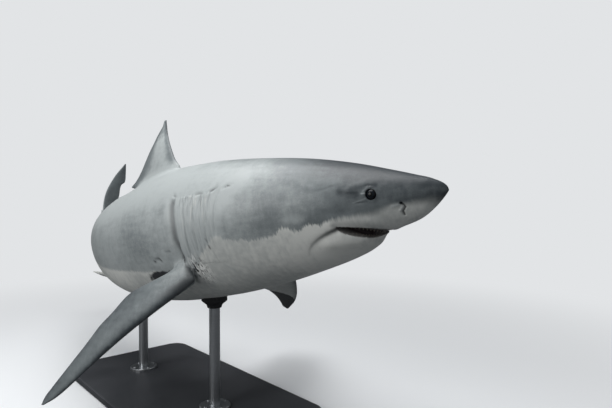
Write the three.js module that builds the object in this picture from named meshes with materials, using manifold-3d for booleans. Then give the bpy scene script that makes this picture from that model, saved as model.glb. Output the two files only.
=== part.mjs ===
// A great white shark, life size, as a still model on a display stand.
//
// The animal is described twice over: its own straight shape, and the bend that its body takes. Places on
// the straight animal are (s, y, z) in percent of the total length: s runs back from the tip of the snout,
// y to the animal's left and z up. The spine then carries each place to the model's frame in millimetres:
// +X to the right, +Y away and +Z up, with the origin under the middle of the stand's base.
import * as THREE from 'three';
import { mergeVertices } from 'three/addons/utils/BufferGeometryUtils.js';
import Module from 'manifold-3d';

const wasm = await Module();
wasm.setup();

// Driving dimensions
const TOTAL_LENGTH = 3800;
const UNIT = TOTAL_LENGTH / 100;
const SNOUT_TIP = new THREE.Vector3(1177, -891, 1085);
const CLEARANCE = 0.3 / UNIT;
const FIN_EDGE = 0.6 / UNIT;
const SIDES = 28;

// Half sections of the trunk: station, height of the back, depth of the belly, half width
const TRUNK = [
  [0, 0, 0, 0], [1.2, 1.2, 1.28, 0.9], [3, 1.88, 2.48, 1.86], [5.5, 2.75, 3.29, 2.85],
  [9, 3.92, 5.36, 4.24], [14, 5.29, 6.78, 5.62], [20, 6.51, 7.91, 6.66], [27, 7.63, 8.62, 7.35],
  [36, 8.36, 8.95, 7.52], [46, 7.70, 8.53, 6.83], [56, 6.61, 7.41, 5.53], [66, 5.00, 5.38, 3.98],
  [74, 3.20, 3.20, 2.62], [80.5, 1.90, 1.80, 1.50], [86, 1.60, 1.40, 0.86], [91, 1.10, 1.00, 0.22],
];
const SNOUT_ROUNDING = 1.2;
const SNOUT_POWER = { back: 0.45, belly: 0.85, side: 0.6 };

// The bend of the spine, in degrees, at stations along it: heading, climb and lean
const YAW = [[0, 28.7], [14, 29.3], [30, 41.7], [46, 48.2], [62, 58.5], [76, 59.3], [90, 102.2]];
const PITCH = [[0, 6.4], [30, 10.3], [60, 3.65], [100, -6.5]];
const ROLL = [[0, -10.9], [35, -2.5], [80, -9.7]];

// Where the trunk is parted, and the rings of each length between
const HEAD_RINGS = [0.03, 0.12, 0.45, 1.0, 1.8, 2.8, 4.0, 5.2, 6.4, 7.6, 8.8, 10.2, 12, 14, 16.5, 19.4];
const GILL_RINGS = [19.4, 21.4, 23.6, 25.9, 28.2];
const FRONT_RINGS = [28.2, 31.5, 35, 38.5, 42, 46, 50];
const REAR_RINGS = [50, 53.5, 57, 60.5, 64, 67.5, 71];
const STEM_RINGS = [71, 73.5, 76, 78.5, 80.5, 82.3, 84.2];
const TAIL_RINGS = [84.2, 86, 88, 89.6];
const KEEL = [[70, 0], [76, 0.25], [81, 0.6], [85, 0.6], [89, 0]];
const KEEL_HEIGHT = 0.9;

function vector(x, y, z) {
  return new THREE.Vector3(x, y, z);
}

function radians(degrees) {
  return THREE.MathUtils.degToRad(degrees);
}

// A smooth curve through knots [x, y]: cubic pieces whose slope at a knot is the harmonic mean of the
// slopes beside it, or level where they turn round. Past its ends the curve stays at the end value.
function smooth(knots) {
  const last = knots.length - 1;
  const rise = [];
  for (let i = 0; i < last; i += 1) {
    rise.push((knots[i + 1][1] - knots[i][1]) / (knots[i + 1][0] - knots[i][0]));
  }
  const slope = [rise[0]];
  for (let i = 1; i < last; i += 1) {
    const before = knots[i][0] - knots[i - 1][0];
    const after = knots[i + 1][0] - knots[i][0];
    const weights = [2 * after + before, after + 2 * before];
    const harmonic = (weights[0] + weights[1]) / (weights[0] / rise[i - 1] + weights[1] / rise[i]);
    slope.push(rise[i - 1] * rise[i] > 0 ? harmonic : 0);
  }
  slope.push(rise[last - 1]);
  return (x) => {
    const at = THREE.MathUtils.clamp(x, knots[0][0], knots[last][0]);
    let i = 0;
    while (i < last - 1 && at >= knots[i + 1][0]) i += 1;
    const step = knots[i + 1][0] - knots[i][0];
    const t = (at - knots[i][0]) / step;
    const t2 = t * t;
    const t3 = t2 * t;
    const ends = (2 * t3 - 3 * t2 + 1) * knots[i][1] + (3 * t2 - 2 * t3) * knots[i + 1][1];
    return ends + (t3 - 2 * t2 + t) * step * slope[i] + (t3 - t2) * step * slope[i + 1];
  };
}

const yaw = smooth(YAW);
const pitch = smooth(PITCH);
const roll = smooth(ROLL);

// The directions forward, left and up of the animal at station s
function directions(s) {
  const heading = radians(yaw(s));
  const climb = radians(pitch(s));
  const lean = radians(roll(s));
  const forward = vector(Math.cos(heading), -Math.sin(heading), 0).multiplyScalar(Math.cos(climb));
  forward.z = Math.sin(climb);
  const level = vector(0, 0, 1).cross(forward).normalize();
  const upright = forward.clone().cross(level);
  const left = level.clone().multiplyScalar(Math.cos(lean)).addScaledVector(upright, -Math.sin(lean));
  const up = upright.clone().multiplyScalar(Math.cos(lean)).addScaledVector(level, Math.sin(lean));
  return { forward, left, up };
}

// The spine's line, added up from short steps back from the snout
const SPINE_STEP = 0.25;
const SPINE_END = 104;
const spine = [SNOUT_TIP.clone()];
for (let i = 1; i * SPINE_STEP <= SPINE_END; i += 1) {
  const middle = directions((i - 0.5) * SPINE_STEP).forward;
  spine.push(spine[i - 1].clone().addScaledVector(middle, -SPINE_STEP * UNIT));
}

function spineAt(s) {
  const step = Math.min(Math.floor(s / SPINE_STEP), spine.length - 2);
  return spine[step].clone().lerp(spine[step + 1], s / SPINE_STEP - step);
}

// A place on the bent animal
function place(s, y, z) {
  const { left, up } = directions(s);
  return spineAt(s).addScaledVector(left, y * UNIT).addScaledVector(up, z * UNIT);
}

// A place on a stiff part that the spine carries whole, as it is turned at station s0
function placeStiff(s0, back, y, z) {
  const { forward, left, up } = directions(s0);
  const at = spineAt(s0).addScaledVector(forward, -back * UNIT);
  return at.addScaledVector(left, y * UNIT).addScaledVector(up, z * UNIT);
}

// A closed solid from corners and triangles, turned so that its faces point outwards
function solid(corners, triangles) {
  let volume = 0;
  for (const [a, b, c] of triangles) {
    volume += corners[a].dot(corners[b].clone().cross(corners[c]));
  }
  const outward = volume > 0 ? triangles : triangles.map(([a, b, c]) => [a, c, b]);
  const vertProperties = new Float32Array(corners.flatMap((p) => [p.x, p.y, p.z]));
  const triVerts = new Uint32Array(outward.flat());
  return new wasm.Manifold(new wasm.Mesh({ numProp: 3, vertProperties, triVerts }));
}

// A solid through rings of equal count, each end closed by a fan round its middle
function loft(rings) {
  const count = rings[0].length;
  const corners = rings.flat();
  const triangles = [];
  for (let r = 0; r + 1 < rings.length; r += 1) {
    for (let i = 0; i < count; i += 1) {
      const here = r * count + i;
      const next = r * count + (i + 1) % count;
      triangles.push([here, next, next + count], [here, next + count, here + count]);
    }
  }
  for (const [r, turned] of [[0, true], [rings.length - 1, false]]) {
    const middle = corners.length;
    const sum = rings[r].reduce((total, p) => total.add(p), vector(0, 0, 0));
    corners.push(sum.divideScalar(count));
    for (let i = 0; i < count; i += 1) {
      const here = r * count + i;
      const next = r * count + (i + 1) % count;
      triangles.push(turned ? [middle, next, here] : [middle, here, next]);
    }
  }
  return solid(corners, triangles);
}

// A solid between y = -reach and y = +reach over a flat outline [s, z] of the straight animal
function prism(outline, reach) {
  const shape = outline.map(([s, z]) => new THREE.Vector2(s, z));
  if (THREE.ShapeUtils.isClockWise(shape)) shape.reverse();
  const count = shape.length;
  const corners = [-reach, reach].flatMap((y) => shape.map((point) => place(point.x, y, point.y)));
  const triangles = [];
  for (const face of THREE.ShapeUtils.triangulateShape(shape, [])) {
    const turned = THREE.ShapeUtils.isClockWise(face.map((i) => shape[i]));
    const [a, b, c] = turned ? face.toReversed() : face;
    triangles.push([a, b, c], [a + count, c + count, b + count]);
  }
  for (let i = 0; i < count; i += 1) {
    const next = (i + 1) % count;
    triangles.push([next, i, i + count], [next, i + count, next + count]);
  }
  return solid(corners, triangles);
}

function fromGeometry(geometry, matrix) {
  const bare = geometry.clone().applyMatrix4(matrix);
  bare.deleteAttribute('normal');
  bare.deleteAttribute('uv');
  const merged = mergeVertices(bare, 1e-4);
  const vertProperties = new Float32Array(merged.attributes.position.array);
  const triVerts = new Uint32Array(merged.index.array);
  return new wasm.Manifold(new wasm.Mesh({ numProp: 3, vertProperties, triVerts }));
}

function toGeometry(manifold) {
  const { numProp, vertProperties, triVerts } = manifold.getMesh();
  const positions = new Float32Array((vertProperties.length / numProp) * 3);
  for (let i = 0; i < positions.length / 3; i += 1) {
    positions.set(vertProperties.subarray(i * numProp, i * numProp + 3), i * 3);
  }
  const geometry = new THREE.BufferGeometry();
  geometry.setAttribute('position', new THREE.BufferAttribute(positions, 3));
  geometry.setIndex(new THREE.BufferAttribute(new Uint32Array(triVerts), 1));
  geometry.computeVertexNormals();
  return geometry;
}

const SKIN_GREY = 0x6d767a;
const FIN_GREY = 0x616b70;
const BELLY_WHITE = 0xd4d6d2;
const EYE_BLACK = 0x0b0d10;
const STAND_PAINT = 0x2c2f33;
const STEEL = 0xa9adb1;

function finish(color, roughness, metalness) {
  return new THREE.MeshStandardMaterial({ color, roughness, metalness });
}

const shark = new THREE.Group();
const stand = new THREE.Group();
const model = new THREE.Group();
model.add(shark, stand);

function addNode(group, name, geometry, material) {
  const mesh = new THREE.Mesh(geometry, material);
  mesh.name = name;
  group.add(mesh);
  return mesh;
}

// ---- Trunk ----

const back = smooth(TRUNK.map((row) => [row[0], row[1]]));
const belly = smooth(TRUNK.map((row) => [row[0], row[2]]));
const halfWidth = smooth(TRUNK.map((row) => [row[0], row[3]]));
const keel = smooth(KEEL);

// Half sections at station s, rounded at the snout, and swollen by grow
function section(s, grow = 0) {
  const nose = Math.min(s / SNOUT_ROUNDING, 1);
  const at = Math.max(s, SNOUT_ROUNDING);
  return {
    top: back(at) * nose ** SNOUT_POWER.back + grow,
    bottom: belly(at) * nose ** SNOUT_POWER.belly + grow,
    width: halfWidth(at) * nose ** SNOUT_POWER.side + grow,
  };
}

// The skin at station s and angle round the trunk: 0 is the left side, 90 degrees the back
function skinAt(s, angle, grow = 0) {
  const { top, bottom, width } = section(s, grow);
  const z = Math.sin(angle) * (Math.sin(angle) > 0 ? top : bottom);
  const ridge = keel(s) * Math.max(0, 1 - Math.abs(z) / KEEL_HEIGHT);
  return [s, Math.cos(angle) * (width + ridge), z];
}

function ring(s, grow = 0, shift = 0) {
  const points = [];
  for (let i = 0; i < SIDES; i += 1) {
    const [, y, z] = skinAt(s, (2 * Math.PI * i) / SIDES, grow);
    points.push(place(s + shift, y, z));
  }
  return points;
}

// A length of the trunk: its end rings stand half the clearance inside the cut
function trunkLength(stations, grow = 0, frontCut = true, rearCut = true) {
  const last = stations.length - 1;
  return loft(stations.map((s, i) => {
    const front = i === 0 && frontCut ? CLEARANCE / 2 : 0;
    const rear = i === last && rearCut ? -CLEARANCE / 2 : 0;
    return ring(s, grow, front + rear);
  }));
}

const wholeStations = [
  ...HEAD_RINGS, ...GILL_RINGS.slice(1), ...FRONT_RINGS.slice(1),
  ...REAR_RINGS.slice(1), ...STEM_RINGS.slice(1), ...TAIL_RINGS.slice(1),
];
const swollenTrunk = trunkLength(wholeStations, CLEARANCE, false, false);

// ---- Mouth: the upper lip and the fold behind its corner, and the lower lip under them ----

const UPPER_LIP = [[5.9, -3.3], [6.5, -2.93], [7.6, -2.47], [9, -2.1], [10.35, -1.86]];
const LOWER_LIP = [
  [6.3, -3.5], [6.9, -3.46], [7.7, -3.22], [8.6, -2.92], [9.5, -2.53], [10.35, -1.96],
];
const CHEEK_FOLD = [
  [11.1, -2.05], [11.9, -2.4], [12.6, -2.9], [13.2, -3.45], [14.1, -4.8], [15, -7],
];
const THROAT = { station: 15.4, depth: -12 };
const MOUTH_REACH = 12;

// The straight-sided space under a lip line, as far back as the fold behind the mouth's corner
function spaceUnder(lip, back) {
  const fold = CHEEK_FOLD.map(([s, z]) => [s - back, z - back]);
  const throat = [[THROAT.station - 2 * back, THROAT.depth], [lip[0][0], THROAT.depth]];
  return prism([...lip, ...fold, ...throat], MOUTH_REACH);
}

const underLip = spaceUnder(UPPER_LIP, 0);
const jawSpace = spaceUnder(LOWER_LIP, CLEARANCE);

const upperLip = smooth(UPPER_LIP);
const lowerLip = smooth(LOWER_LIP);

// Teeth stand in a bow inside the lips: one pyramid for each, with its root sunk in the gum
const TOOTH_ANGLES = [5, 15, 25, 35, 45, 55, 64, 72, 79];
const BOW_BACK = 9.9;
const UPPER_TEETH = { gum: upperLip, length: 3.65, width: 3.6, height: -0.34, tooth: 0.3, shift: 0 };
const LOWER_TEETH = { gum: lowerLip, length: 3.1, width: 3.35, height: 0.28, tooth: 0.18, shift: 4 };
const TOOTH_ROOT = 0.12;
const TOOTH_FLATNESS = 0.5;

function toothSolid(angle, side, teeth) {
  const turn = radians(angle + teeth.shift);
  const s = BOW_BACK - teeth.length * Math.cos(turn);
  const y = side * teeth.width * Math.sin(turn);
  const tangent = new THREE.Vector2(teeth.length * Math.sin(turn), side * teeth.width * Math.cos(turn));
  const along = tangent.setLength(teeth.tooth / 2).toArray();
  const across = [-along[1] * TOOTH_FLATNESS, along[0] * TOOTH_FLATNESS];
  const gum = teeth.gum(s);
  const foot = gum - Math.sign(teeth.height) * TOOTH_ROOT;
  const corners = [
    place(s + along[0], y + along[1], foot),
    place(s + across[0], y + across[1], foot),
    place(s - along[0], y - along[1], foot),
    place(s - across[0], y - across[1], foot),
    place(s, y, gum + teeth.height),
  ];
  return solid(corners, [[0, 1, 2], [0, 2, 3], [0, 4, 1], [1, 4, 2], [2, 4, 3], [3, 4, 0]]);
}

function withTeeth(jaw, teeth) {
  let joined = jaw;
  for (const side of [-1, 1]) {
    for (const angle of TOOTH_ANGLES) {
      joined = joined.add(toothSolid(angle, side, teeth));
    }
  }
  return joined;
}

// ---- Eyes, nostrils and gill slits ----

const EYE = { s: 6.6, z: 0.89, radius: 0.5, tallness: 1.08, depth: 0.36, sunk: 0.2 };
const NOSTRIL = [[4.1, -0.38], [3.86, -0.6], [3.78, -0.84], [3.92, -1.02], [4.08, -1.2], [4.04, -1.58]];
const GILLS = [
  { top: [21.8, 3.7], middle: [22.2, 1.2], bottom: [22.35, -1.2] },
  { top: [23.3, 3.6], middle: [23.4, 0.8], bottom: [23.7, -2.3] },
  { top: [25.2, 3.6], middle: [24.85, 0.5], bottom: [25.1, -2.9] },
  { top: [26.55, 3.6], middle: [26.15, 0.3], bottom: [26.2, -3.4] },
  { top: [27.85, 3.6], middle: [27.4, -0.6], bottom: [27.75, -4.9] },
];
const GILL_CUT = { half: 0.09, depth: 0.4 };
const NOSTRIL_CUT = { half: 0.09, depth: 0.3 };
const SLIT_END = 0.4;

// The half width of the skin at station s and height z
function sideAt(s, z) {
  const { top, bottom, width } = section(s);
  const share = z / (z > 0 ? top : bottom);
  return width * Math.sqrt(Math.max(0, 1 - share * share));
}

// The way out of the skin at station s and height z, as seen across the trunk
function outwardAt(s, z) {
  const { top, bottom, width } = section(s);
  const height = z > 0 ? top : bottom;
  const normal = new THREE.Vector2(sideAt(s, z) / (width * width), z / (height * height));
  return normal.normalize();
}

// A blade that follows a path [s, z] along the skin, for cutting a slit into it
function blade(path, side, { half, depth }) {
  return loft(path.map(([s, z], i) => {
    const out = outwardAt(s, z);
    const y = sideAt(s, z);
    const narrow = i === 0 || i === path.length - 1 ? half * SLIT_END : half;
    const corners = [[-narrow, depth], [narrow, depth], [narrow, -depth], [-narrow, -depth]];
    return corners.map(([along, reach]) => (
      place(s + along, side * (y + out.x * reach), z + out.y * reach)
    ));
  }));
}

function gillPath({ top, middle, bottom }) {
  const line = smooth([bottom, middle, top].map(([s, z]) => [z, s]));
  const points = [];
  const steps = 5;
  for (let i = 0; i <= steps; i += 1) {
    const z = THREE.MathUtils.lerp(bottom[1], top[1], i / steps);
    points.push([line(z), z]);
  }
  return points;
}

// The eye is a flattened ball that lies in its socket, its flat way along the skin
function eyeMatrix(side, grow = 0) {
  const out = outwardAt(EYE.s, EYE.z);
  const y = sideAt(EYE.s, EYE.z);
  const middle = place(EYE.s, side * (y - out.x * EYE.sunk), EYE.z - out.y * EYE.sunk);
  const outer = place(EYE.s, side * (y + out.x), EYE.z + out.y);
  const ahead = place(EYE.s - 1, side * sideAt(EYE.s - 1, EYE.z), EYE.z);
  const skinPoint = place(EYE.s, side * y, EYE.z);
  const along = ahead.sub(skinPoint).normalize();
  const across = outer.sub(skinPoint);
  const upward = across.clone().cross(along).normalize();
  const outward = along.clone().cross(upward).normalize();
  const basis = new THREE.Matrix4().makeBasis(along, upward, outward);
  const size = vector(EYE.radius, EYE.radius * EYE.tallness, EYE.depth).addScalar(grow);
  const socket = new THREE.Matrix4().makeTranslation(middle.x, middle.y, middle.z);
  return socket.multiply(basis).scale(size.multiplyScalar(UNIT));
}

const eyeBall = new THREE.SphereGeometry(1, 12, 8);

let head = trunkLength(HEAD_RINGS, 0, false, true).subtract(underLip);
head = withTeeth(head, UPPER_TEETH);
let gillRegion = trunkLength(GILL_RINGS);
for (const side of [-1, 1]) {
  head = head.subtract(fromGeometry(eyeBall, eyeMatrix(side, CLEARANCE)));
  head = head.subtract(blade(NOSTRIL, side, NOSTRIL_CUT));
  for (const gill of GILLS) {
    gillRegion = gillRegion.subtract(blade(gillPath(gill), side, GILL_CUT));
  }
}
let lowerJaw = trunkLength(HEAD_RINGS, 0, false, true).intersect(jawSpace);
lowerJaw = withTeeth(lowerJaw, LOWER_TEETH);

addNode(shark, 'head', toGeometry(head), finish(SKIN_GREY, 0.55, 0));
addNode(shark, 'lower_jaw', toGeometry(lowerJaw), finish(BELLY_WHITE, 0.55, 0));
addNode(shark, 'gill_region', toGeometry(gillRegion), finish(SKIN_GREY, 0.55, 0));
addNode(shark, 'trunk_front', toGeometry(trunkLength(FRONT_RINGS)), finish(SKIN_GREY, 0.55, 0));
addNode(shark, 'trunk_rear', toGeometry(trunkLength(REAR_RINGS)), finish(SKIN_GREY, 0.55, 0));
addNode(shark, 'tail_stem', toGeometry(trunkLength(STEM_RINGS)), finish(SKIN_GREY, 0.55, 0));
for (const [name, side] of [['eye_right', -1], ['eye_left', 1]]) {
  const eye = addNode(shark, name, eyeBall.clone(), finish(EYE_BLACK, 0.1, 0));
  eyeMatrix(side).decompose(eye.position, eye.quaternion, eye.scale);
}

// ---- Fins on the midline: outlines as leading and trailing edge against height ----

const CHORD_STEPS = [0, 0.05, 0.16, 0.34, 0.58, 0.82, 1];
const LENS_PEAK = 1 / 3;
const LENS_SCALE = 1 / (Math.sqrt(LENS_PEAK) * (1 - LENS_PEAK));

// Half thickness across a fin at a share of its chord: thickest a third of the way back
function lens(share, thickness) {
  return FIN_EDGE + thickness * LENS_SCALE * Math.sqrt(share) * (1 - share);
}

// The outline of a fin's section: out along one side and back along the other, [share, offset]
function finSection(thickness, grow) {
  const side = CHORD_STEPS.map((share) => [share, lens(share, thickness) + grow]);
  const other = side.map(([share, offset]) => [share, -offset]).reverse();
  return [...side, ...other];
}

const FIRST_DORSAL = {
  leading: [[6, 33.2], [8.2, 34.7], [9.8, 36.45], [11.5, 37.75], [14.1, 40.3], [16, 42.7], [17.8, 45.6]],
  trailing: [
    [6, 46], [7.2, 46.4], [8.1, 51.6], [8.8, 49.4], [9.7, 47.6], [10.6, 46.5], [12.4, 45.3], [14.4, 44.6],
    [16.3, 44.7], [17.8, 46.2],
  ],
  heights: [6, 7.2, 8.1, 8.8, 9.7, 10.9, 12.4, 14.4, 16.2, 17.3, 17.8],
  thickness: [[6, 0.95], [9, 0.72], [17.8, 0.12]],
  flex: (z) => 4.2 * (Math.max(0, z - 8.5) / 9) ** 2,
};
const SECOND_DORSAL = {
  leading: [[2, 71.2], [3.4, 72], [5.3, 74.1]],
  trailing: [[2, 74.2], [3.6, 74.4], [4.2, 76.3], [5, 75.1], [5.3, 74.7]],
  heights: [2, 3.1, 3.7, 4.2, 4.7, 5.3],
  thickness: [[2, 0.3], [5.3, 0.08]],
  flex: () => 0,
};
const ANAL = {
  leading: [[-5.1, 76.6], [-3.2, 74.6], [-1.6, 73.8]],
  trailing: [[-5.1, 77.2], [-4.6, 77.9], [-3.8, 78.8], [-3.2, 76.7], [-1.6, 76.5]],
  heights: [-5.1, -4.5, -3.8, -3.3, -2.7, -1.6],
  thickness: [[-5.1, 0.08], [-1.6, 0.3]],
  flex: () => 0,
};
const TAIL_UPPER = {
  leading: [[-1, 84.8], [1.6, 85], [4.8, 86.6], [8.2, 89.3], [11.6, 94.1], [14.2, 99.6]],
  trailing: [
    [-1, 90], [1.2, 90.4], [4.4, 92], [7.2, 94.2], [9.5, 96.1], [9.9, 97.6], [11.6, 98.8], [14.2, 100],
  ],
  heights: [-1, 1.2, 2.8, 4.8, 6.6, 8.2, 9.5, 9.9, 11.2, 12.8, 14.2],
  thickness: [[-1, 0.5], [3, 0.38], [14.2, 0.1]],
  flex: () => 0,
};
const TAIL_LOWER = {
  leading: [[-11.8, 95.2], [-9.6, 91.4], [-6.4, 87.8], [-3.4, 85.7], [-1.5, 84.9], [1, 84.8]],
  trailing: [[-11.8, 95.6], [-9, 94.1], [-6, 92.6], [-3, 91.3], [-1, 90.4], [1, 90]],
  heights: [-11.8, -10.6, -9, -7, -5, -3.2, -1.2, 1],
  thickness: [[-11.8, 0.1], [-3, 0.38], [1, 0.5]],
  flex: () => 0,
};

function midlineFin(fin, grow = 0) {
  const leading = smooth(fin.leading);
  const trailing = smooth(fin.trailing);
  const thickness = smooth(fin.thickness);
  return loft(fin.heights.map((z) => {
    const front = leading(z) - grow;
    const chord = trailing(z) + grow - front;
    return finSection(thickness(z), grow).map(([share, y]) => (
      place(front + share * chord, y + fin.flex(z), z)
    ));
  }));
}

function addFin(name, fin) {
  addNode(shark, name, toGeometry(fin), finish(FIN_GREY, 0.55, 0));
}

addFin('dorsal_fin_first', midlineFin(FIRST_DORSAL).subtract(swollenTrunk));
addFin('dorsal_fin_second', midlineFin(SECOND_DORSAL).subtract(swollenTrunk));
addFin('anal_fin', midlineFin(ANAL).subtract(swollenTrunk));

// The tail fin: two lobes over the end of the trunk, parted by a thin cut at mid height
const TAIL_CUT_STATIONS = [80, 83, 86, 88.5, 91, 97, 104];
const TAIL_CUT_TOP = 20;
const TAIL_CUT_REACH = 4;

function aboveTailCut(height) {
  const cut = TAIL_CUT_STATIONS.map((s) => [s, height]);
  return prism([...cut, [104, TAIL_CUT_TOP], [80, TAIL_CUT_TOP]], TAIL_CUT_REACH);
}

const tailCore = trunkLength(TAIL_RINGS, 0, true, false);
const stemEnd = trunkLength(STEM_RINGS, CLEARANCE, false, false);
const tailFin = midlineFin(TAIL_UPPER).add(midlineFin(TAIL_LOWER)).add(tailCore).subtract(stemEnd);
addFin('tail_fin_upper', tailFin.intersect(aboveTailCut(CLEARANCE / 2)));
addFin('tail_fin_lower', tailFin.subtract(aboveTailCut(-CLEARANCE / 2)));

// ---- Paired fins: stiff blades whose length droops and bends down, with the tip swept back ----

const PECTORAL = {
  station: 27.4, root: [6.9, -5.4], span: 19.5,
  leading: [
    [-3, 2.2], [-2, 1.8], [-1.2, 0.8], [-0.4, -0.9], [0.4, -1.85], [1.4, -1.45], [4.5, 0.35], [9.5, 3.25],
    [12.3, 4.85], [14.6, 6.2], [16.8, 7.65], [18.5, 9.3], [19.5, 11],
  ],
  trailing: [
    [-3, 3.4], [-1.5, 3.9], [-0.8, 4.4], [0, 5.5], [1, 6.8], [2.6, 8.7], [3.4, 9], [5.5, 9.1], [7.8, 9.6],
    [9.5, 9.6], [13.4, 10.2], [16.7, 11.1], [18.4, 11.6], [19.5, 11.5],
  ],
  steps: [-3, -2, -1.2, -0.4, 0.4, 1.4, 2.6, 3.5, 5, 7.2, 9.8, 12.4, 14.8, 16.8, 18.5, 19.5],
  thickness: [[-3, 0.5], [-1, 0.65], [3, 0.62], [9.5, 0.45], [15, 0.26], [19.5, 0.1]],
};
const PELVIC = {
  station: 57, root: [2.6, -5.3], span: 3.1,
  leading: [[-1.6, -0.2], [0, 0], [1.6, 1.2], [2.5, 2.4], [3.1, 3.9]],
  trailing: [[-1.6, 4.8], [0, 5.2], [0.6, 7.2], [0.9, 7.5], [2, 6], [3.1, 4.4]],
  steps: [-1.6, -0.6, 0.3, 0.9, 1.6, 2.3, 2.8, 3.1],
  thickness: [[-1.6, 0.4], [1, 0.3], [3.1, 0.08]],
};
const RIGHT_PECTORAL_SET = { side: -1, droop: 50.3, twist: -11.6, sweep: 39.6, curve: 21.9 };
const LEFT_PECTORAL_SET = { side: 1, droop: 6.9, twist: 18.7, sweep: 9.5, curve: 28.4 };
const RIGHT_PELVIC_SET = { side: -1, droop: -24, twist: 4, sweep: 45, curve: -4 };
const LEFT_PELVIC_SET = { side: 1, droop: 2, twist: 4, sweep: 32, curve: 8 };
const BLADE_PIECES = 24;

// The blade's middle line goes out sideways, droops by an angle that grows towards the tip, and each
// section lies back along the trunk, its rear edge twisted down.
function pairedFin(fin, { side, droop, twist, sweep, curve }, grow = 0) {
  const leading = smooth(fin.leading);
  const trailing = smooth(fin.trailing);
  const thickness = smooth(fin.thickness);
  const aft = vector(1, 0, 0);
  const turn = radians(twist);
  const swept = radians(sweep);
  const droopAt = (b) => radians(droop + (curve * b) / fin.span);
  const middle = (b) => {
    const at = vector(0, 0, 0);
    for (let i = 0; i < BLADE_PIECES; i += 1) {
      const angle = droopAt(((i + 0.5) / BLADE_PIECES) * b);
      at.add(vector(0, side * Math.cos(angle), -Math.sin(angle)).multiplyScalar(b / BLADE_PIECES));
    }
    return at;
  };
  return loft(fin.steps.map((b) => {
    const angle = droopAt(b);
    const upper = vector(0, side * Math.sin(angle), Math.cos(angle));
    const chordWay = aft.clone().multiplyScalar(Math.cos(turn)).addScaledVector(upper, -Math.sin(turn));
    const thickWay = upper.clone().multiplyScalar(Math.cos(turn)).addScaledVector(aft, Math.sin(turn));
    const line = middle(b).multiplyScalar(Math.cos(swept)).addScaledVector(aft, b * Math.sin(swept));
    const front = leading(b) - grow;
    const chord = trailing(b) + grow - front;
    return finSection(thickness(b), grow).map(([share, offset]) => {
      const at = line.clone().addScaledVector(chordWay, (front + share * chord) * Math.cos(swept));
      at.addScaledVector(thickWay, offset);
      return placeStiff(fin.station, at.x, at.y + side * fin.root[0], at.z + fin.root[1]);
    });
  }));
}

addFin('pectoral_fin_right', pairedFin(PECTORAL, RIGHT_PECTORAL_SET).subtract(swollenTrunk));
addFin('pectoral_fin_left', pairedFin(PECTORAL, LEFT_PECTORAL_SET).subtract(swollenTrunk));
addFin('pelvic_fin_right', pairedFin(PELVIC, RIGHT_PELVIC_SET).subtract(swollenTrunk));
addFin('pelvic_fin_left', pairedFin(PELVIC, LEFT_PELVIC_SET).subtract(swollenTrunk));

// ---- Stand: a flat base, two rods with a foot flange each, and a cup under the belly ----

const BASE = { length: 1500, width: 760, thickness: 36, corner: 90, bevel: 5, turn: 131.6 };
const ROD = { stations: [32, 51.5], radius: 26 };
const FLANGE = { radius: 75, height: 14, chamfer: 3 };
const CUP = { radius: 62, foot: 34, neck: 38, neckHeight: 14, flareHeight: 34, depth: 46, rise: 45 };
const GAP = 0.3;
const TURNED_SIDES = 20;

function roundedPlate({ length, width, corner }) {
  const shape = new THREE.Shape();
  const x = length / 2;
  const y = width / 2;
  shape.moveTo(-x + corner, -y);
  shape.lineTo(x - corner, -y);
  shape.absarc(x - corner, -y + corner, corner, -Math.PI / 2, 0, false);
  shape.absarc(x - corner, y - corner, corner, 0, Math.PI / 2, false);
  shape.absarc(-x + corner, y - corner, corner, Math.PI / 2, Math.PI, false);
  shape.absarc(-x + corner, -y + corner, corner, Math.PI, 1.5 * Math.PI, false);
  return shape;
}

const plateShape = roundedPlate({
  length: BASE.length - 2 * BASE.bevel,
  width: BASE.width - 2 * BASE.bevel,
  corner: BASE.corner - BASE.bevel,
});
const plate = new THREE.ExtrudeGeometry(plateShape, {
  depth: BASE.thickness - 2 * BASE.bevel,
  bevelSize: BASE.bevel,
  bevelThickness: BASE.bevel,
  bevelSegments: 1,
  curveSegments: 4,
});
plate.translate(0, 0, BASE.bevel);
const base = addNode(stand, 'stand_base', plate, finish(STAND_PAINT, 0.5, 0.2));
base.rotation.z = radians(BASE.turn);

// A turned piece from a profile [radius, height], its foot at height, upright at x, y
function turned(profile, x, y, height) {
  const points = profile.map(([radius, z]) => new THREE.Vector2(radius, z));
  const upright = new THREE.Matrix4().makeRotationX(Math.PI / 2);
  const lathe = new THREE.LatheGeometry(points, TURNED_SIDES);
  return fromGeometry(lathe, new THREE.Matrix4().makeTranslation(x, y, height).multiply(upright));
}

for (const [index, name] of ['front', 'rear'].entries()) {
  const station = ROD.stations[index];
  const foot = place(station, 0, -section(station).bottom);
  const top = foot.z - CUP.depth;
  const flangeFoot = BASE.thickness + GAP;
  const rodFoot = flangeFoot + FLANGE.height + GAP;
  const flange = turned([
    [0, 0], [FLANGE.radius, 0], [FLANGE.radius, FLANGE.height - FLANGE.chamfer],
    [FLANGE.radius - FLANGE.chamfer, FLANGE.height], [0, FLANGE.height],
  ], foot.x, foot.y, flangeFoot);
  const rodLength = top - GAP - rodFoot;
  const rodProfile = [[0, 0], [ROD.radius, 0], [ROD.radius, rodLength], [0, rodLength]];
  const rod = turned(rodProfile, foot.x, foot.y, rodFoot);
  const cup = turned([
    [0, 0], [CUP.foot, 0], [CUP.neck, CUP.neckHeight], [CUP.radius, CUP.flareHeight],
    [CUP.radius, CUP.depth + CUP.rise], [0, CUP.depth + CUP.rise],
  ], foot.x, foot.y, top).subtract(swollenTrunk);
  addNode(stand, `stand_flange_${name}`, toGeometry(flange), finish(STEEL, 0.35, 1));
  addNode(stand, `stand_rod_${name}`, toGeometry(rod), finish(STEEL, 0.3, 1));
  addNode(stand, `stand_cup_${name}`, toGeometry(cup), finish(STAND_PAINT, 0.6, 0.1));
}

export default model;
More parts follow.
